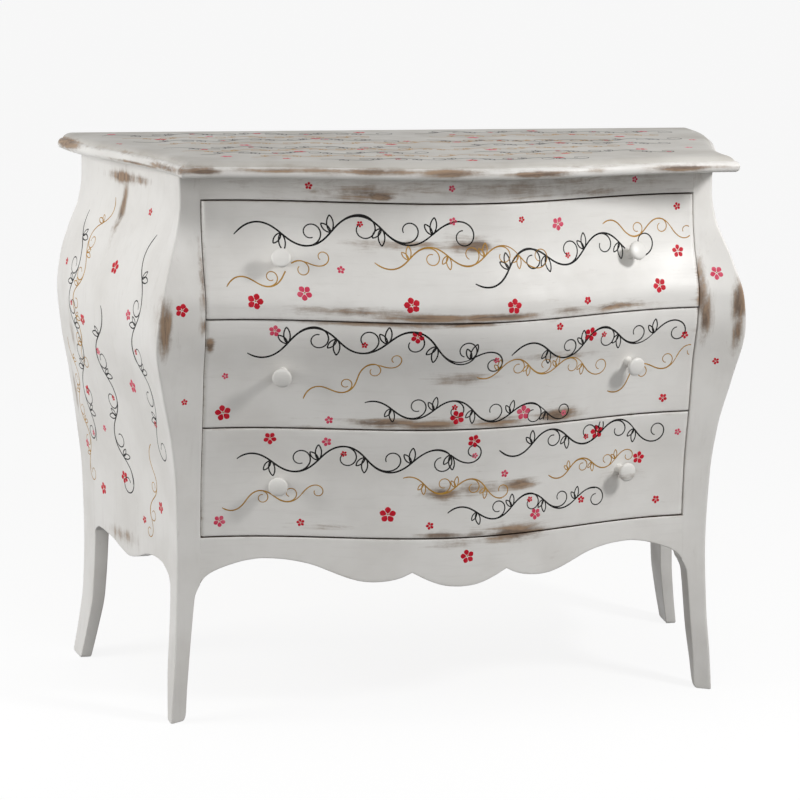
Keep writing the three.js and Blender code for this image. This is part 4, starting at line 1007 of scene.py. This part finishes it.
top_blooms = [
    (-420, -140, 20), (-300, -250, 19), (-160, -150, 19), (-60, -46, 19), (110, -156, 20),
    (250, -42, 19), (370, -160, 19), (444, -70, 18), (-236, -366, 20), (-60, -262, 19),
    (80, -366, 19), (230, -262, 20), (330, -380, 19), (-366, -430, 18), (0, -530, 18),
    (150, -500, 18), (-486, -44, 15), (-110, -432, 15), (300, -112, 13), (476, -230, 13),
    (-240, -50, 14), (-380, -316, 13), (180, -440, 13), (-20, -210, 13), (-500, -210, 13),
    (60, -232, 14), (-130, -340, 14), (340, -300, 13), (420, -360, 13), (-280, -470, 13),
    (90, -100, 13), (-330, -96, 13)]
paint_field("top", "carcass", top_surface, on_top, top_vines, top_ochre, top_blooms, turn=0.2)

# The kept solids of the inside
for name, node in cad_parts.items():
    if name.endswith("screw"):
        kept = screw_steel
    elif name == "back_panel" or name.endswith("_bottom"):
        kept = plywood
    elif any(word in name for word in ("runner", "guide", "kicker", "_side")):
        kept = wood_deep
    else:
        kept = wood_across
    node.data.materials.clear()
    node.data.materials.append(kept)

# Camera, floor and light, in metres
CAMERA_PLACE, CAMERA_LENS, CAMERA_FILM = (-1.161, -4.1955, 1.306), 120.3, 36.0
CAMERA_TURN, CAMERA_TILT, CAMERA_ROLL = (math.radians(v) for v in (-14.88, 79.23, 0.87))
camera = bpy.data.objects.new("camera", bpy.data.cameras.new("camera"))
camera.data.lens, camera.data.sensor_width, camera.data.clip_end = CAMERA_LENS, CAMERA_FILM, 50
camera.matrix_world = Matrix.Translation(CAMERA_PLACE)
for angle, axis in ((CAMERA_TURN, "Z"), (CAMERA_TILT, "X"), (CAMERA_ROLL, "Z")):
    camera.matrix_world @= Matrix.Rotation(angle, 4, axis)
scene.collection.objects.link(camera)
scene.camera = camera

FLOOR_HALF, FLOOR_DROP, FLOOR_SHADE, FLOOR_GLOW = 60, 0.0005, 0.16, 0.865
MIDDLE_OF_CHEST = Vector((0, 0, 0.55))


def in_sight(add):
    """1 for the rays that show the white around the chest: straight from the camera, off gloss
    or through glass."""
    camera_ray, glossy_ray, glass_ray = (add("LightPath", output=f"Is {kind} Ray")
                                         for kind in ("Camera", "Glossy", "Transmission"))
    either = add("Math", camera_ray, glossy_ray, operation="MAXIMUM")
    return add("Math", either, glass_ray, operation="MAXIMUM")


def white_floor(add):
    """Matt white floor: it keeps the chest's shadow, and its glow, which only rays in sight
    see, lets it run into the white behind it."""
    glow = add("Math", in_sight(add), FLOOR_GLOW, operation="MULTIPLY")
    return add("AddShader", add("BsdfDiffuse", (FLOOR_SHADE,) * 3 + (1,)),
               add("Emission", Strength=glow))


floor = new_object("floor", [(x * FLOOR_HALF, y * FLOOR_HALF, -FLOOR_DROP)
                             for x, y in ((-1, -1), (1, -1), (1, 1), (-1, 1))],
                   [(0, 1, 2, 3)], [new_material("white_floor", white_floor)])


def light(name, kind, at, power, **settings):
    """A lamp at a place, turned to the middle of the chest."""
    lamp = bpy.data.lights.new(name, kind)
    lamp.energy = power
    for key, value in settings.items():
        setattr(lamp, key, value)
    thing = bpy.data.objects.new(name, lamp)
    thing.location = at
    thing.rotation_euler = (Vector(at) - MIDDLE_OF_CHEST).to_track_quat("Z", "Y").to_euler()
    thing.visible_camera = False
    scene.collection.objects.link(thing)
    return thing


light("key_from_the_right", "AREA", (1.3, -1.25, 1.72), 20, size=0.35)
light("soft_box_on_the_left", "AREA", (-2.4, -0.1, 1.2), 24, size=1.0)
light("wide_fill_in_front", "SUN", (-0.3, -1.0, 0.45), 1.38, angle=math.radians(60))
behind = light("weak_fill_behind", "SUN", (0.2, 1.0, 0.6), 1.15, angle=math.radians(20))
behind.visible_glossy = False

# The world lights the chest weakly, and is as white as the far floor where it is seen
WORLD_LIGHT, WORLD_SEEN = 0.37, 0.93
world = bpy.data.worlds.new("plain_studio")
world.use_nodes = True
tree = world.node_tree
plain = tree.nodes["Background"].inputs
plain["Color"].default_value = (1, 1, 1, 1)
add = partial(add_node, tree)
tree.links.new(add("MapRange", in_sight(add), 0, 1, WORLD_LIGHT, WORLD_SEEN), plain["Strength"])
scene.world = world
scene.view_settings.view_transform = "Standard"
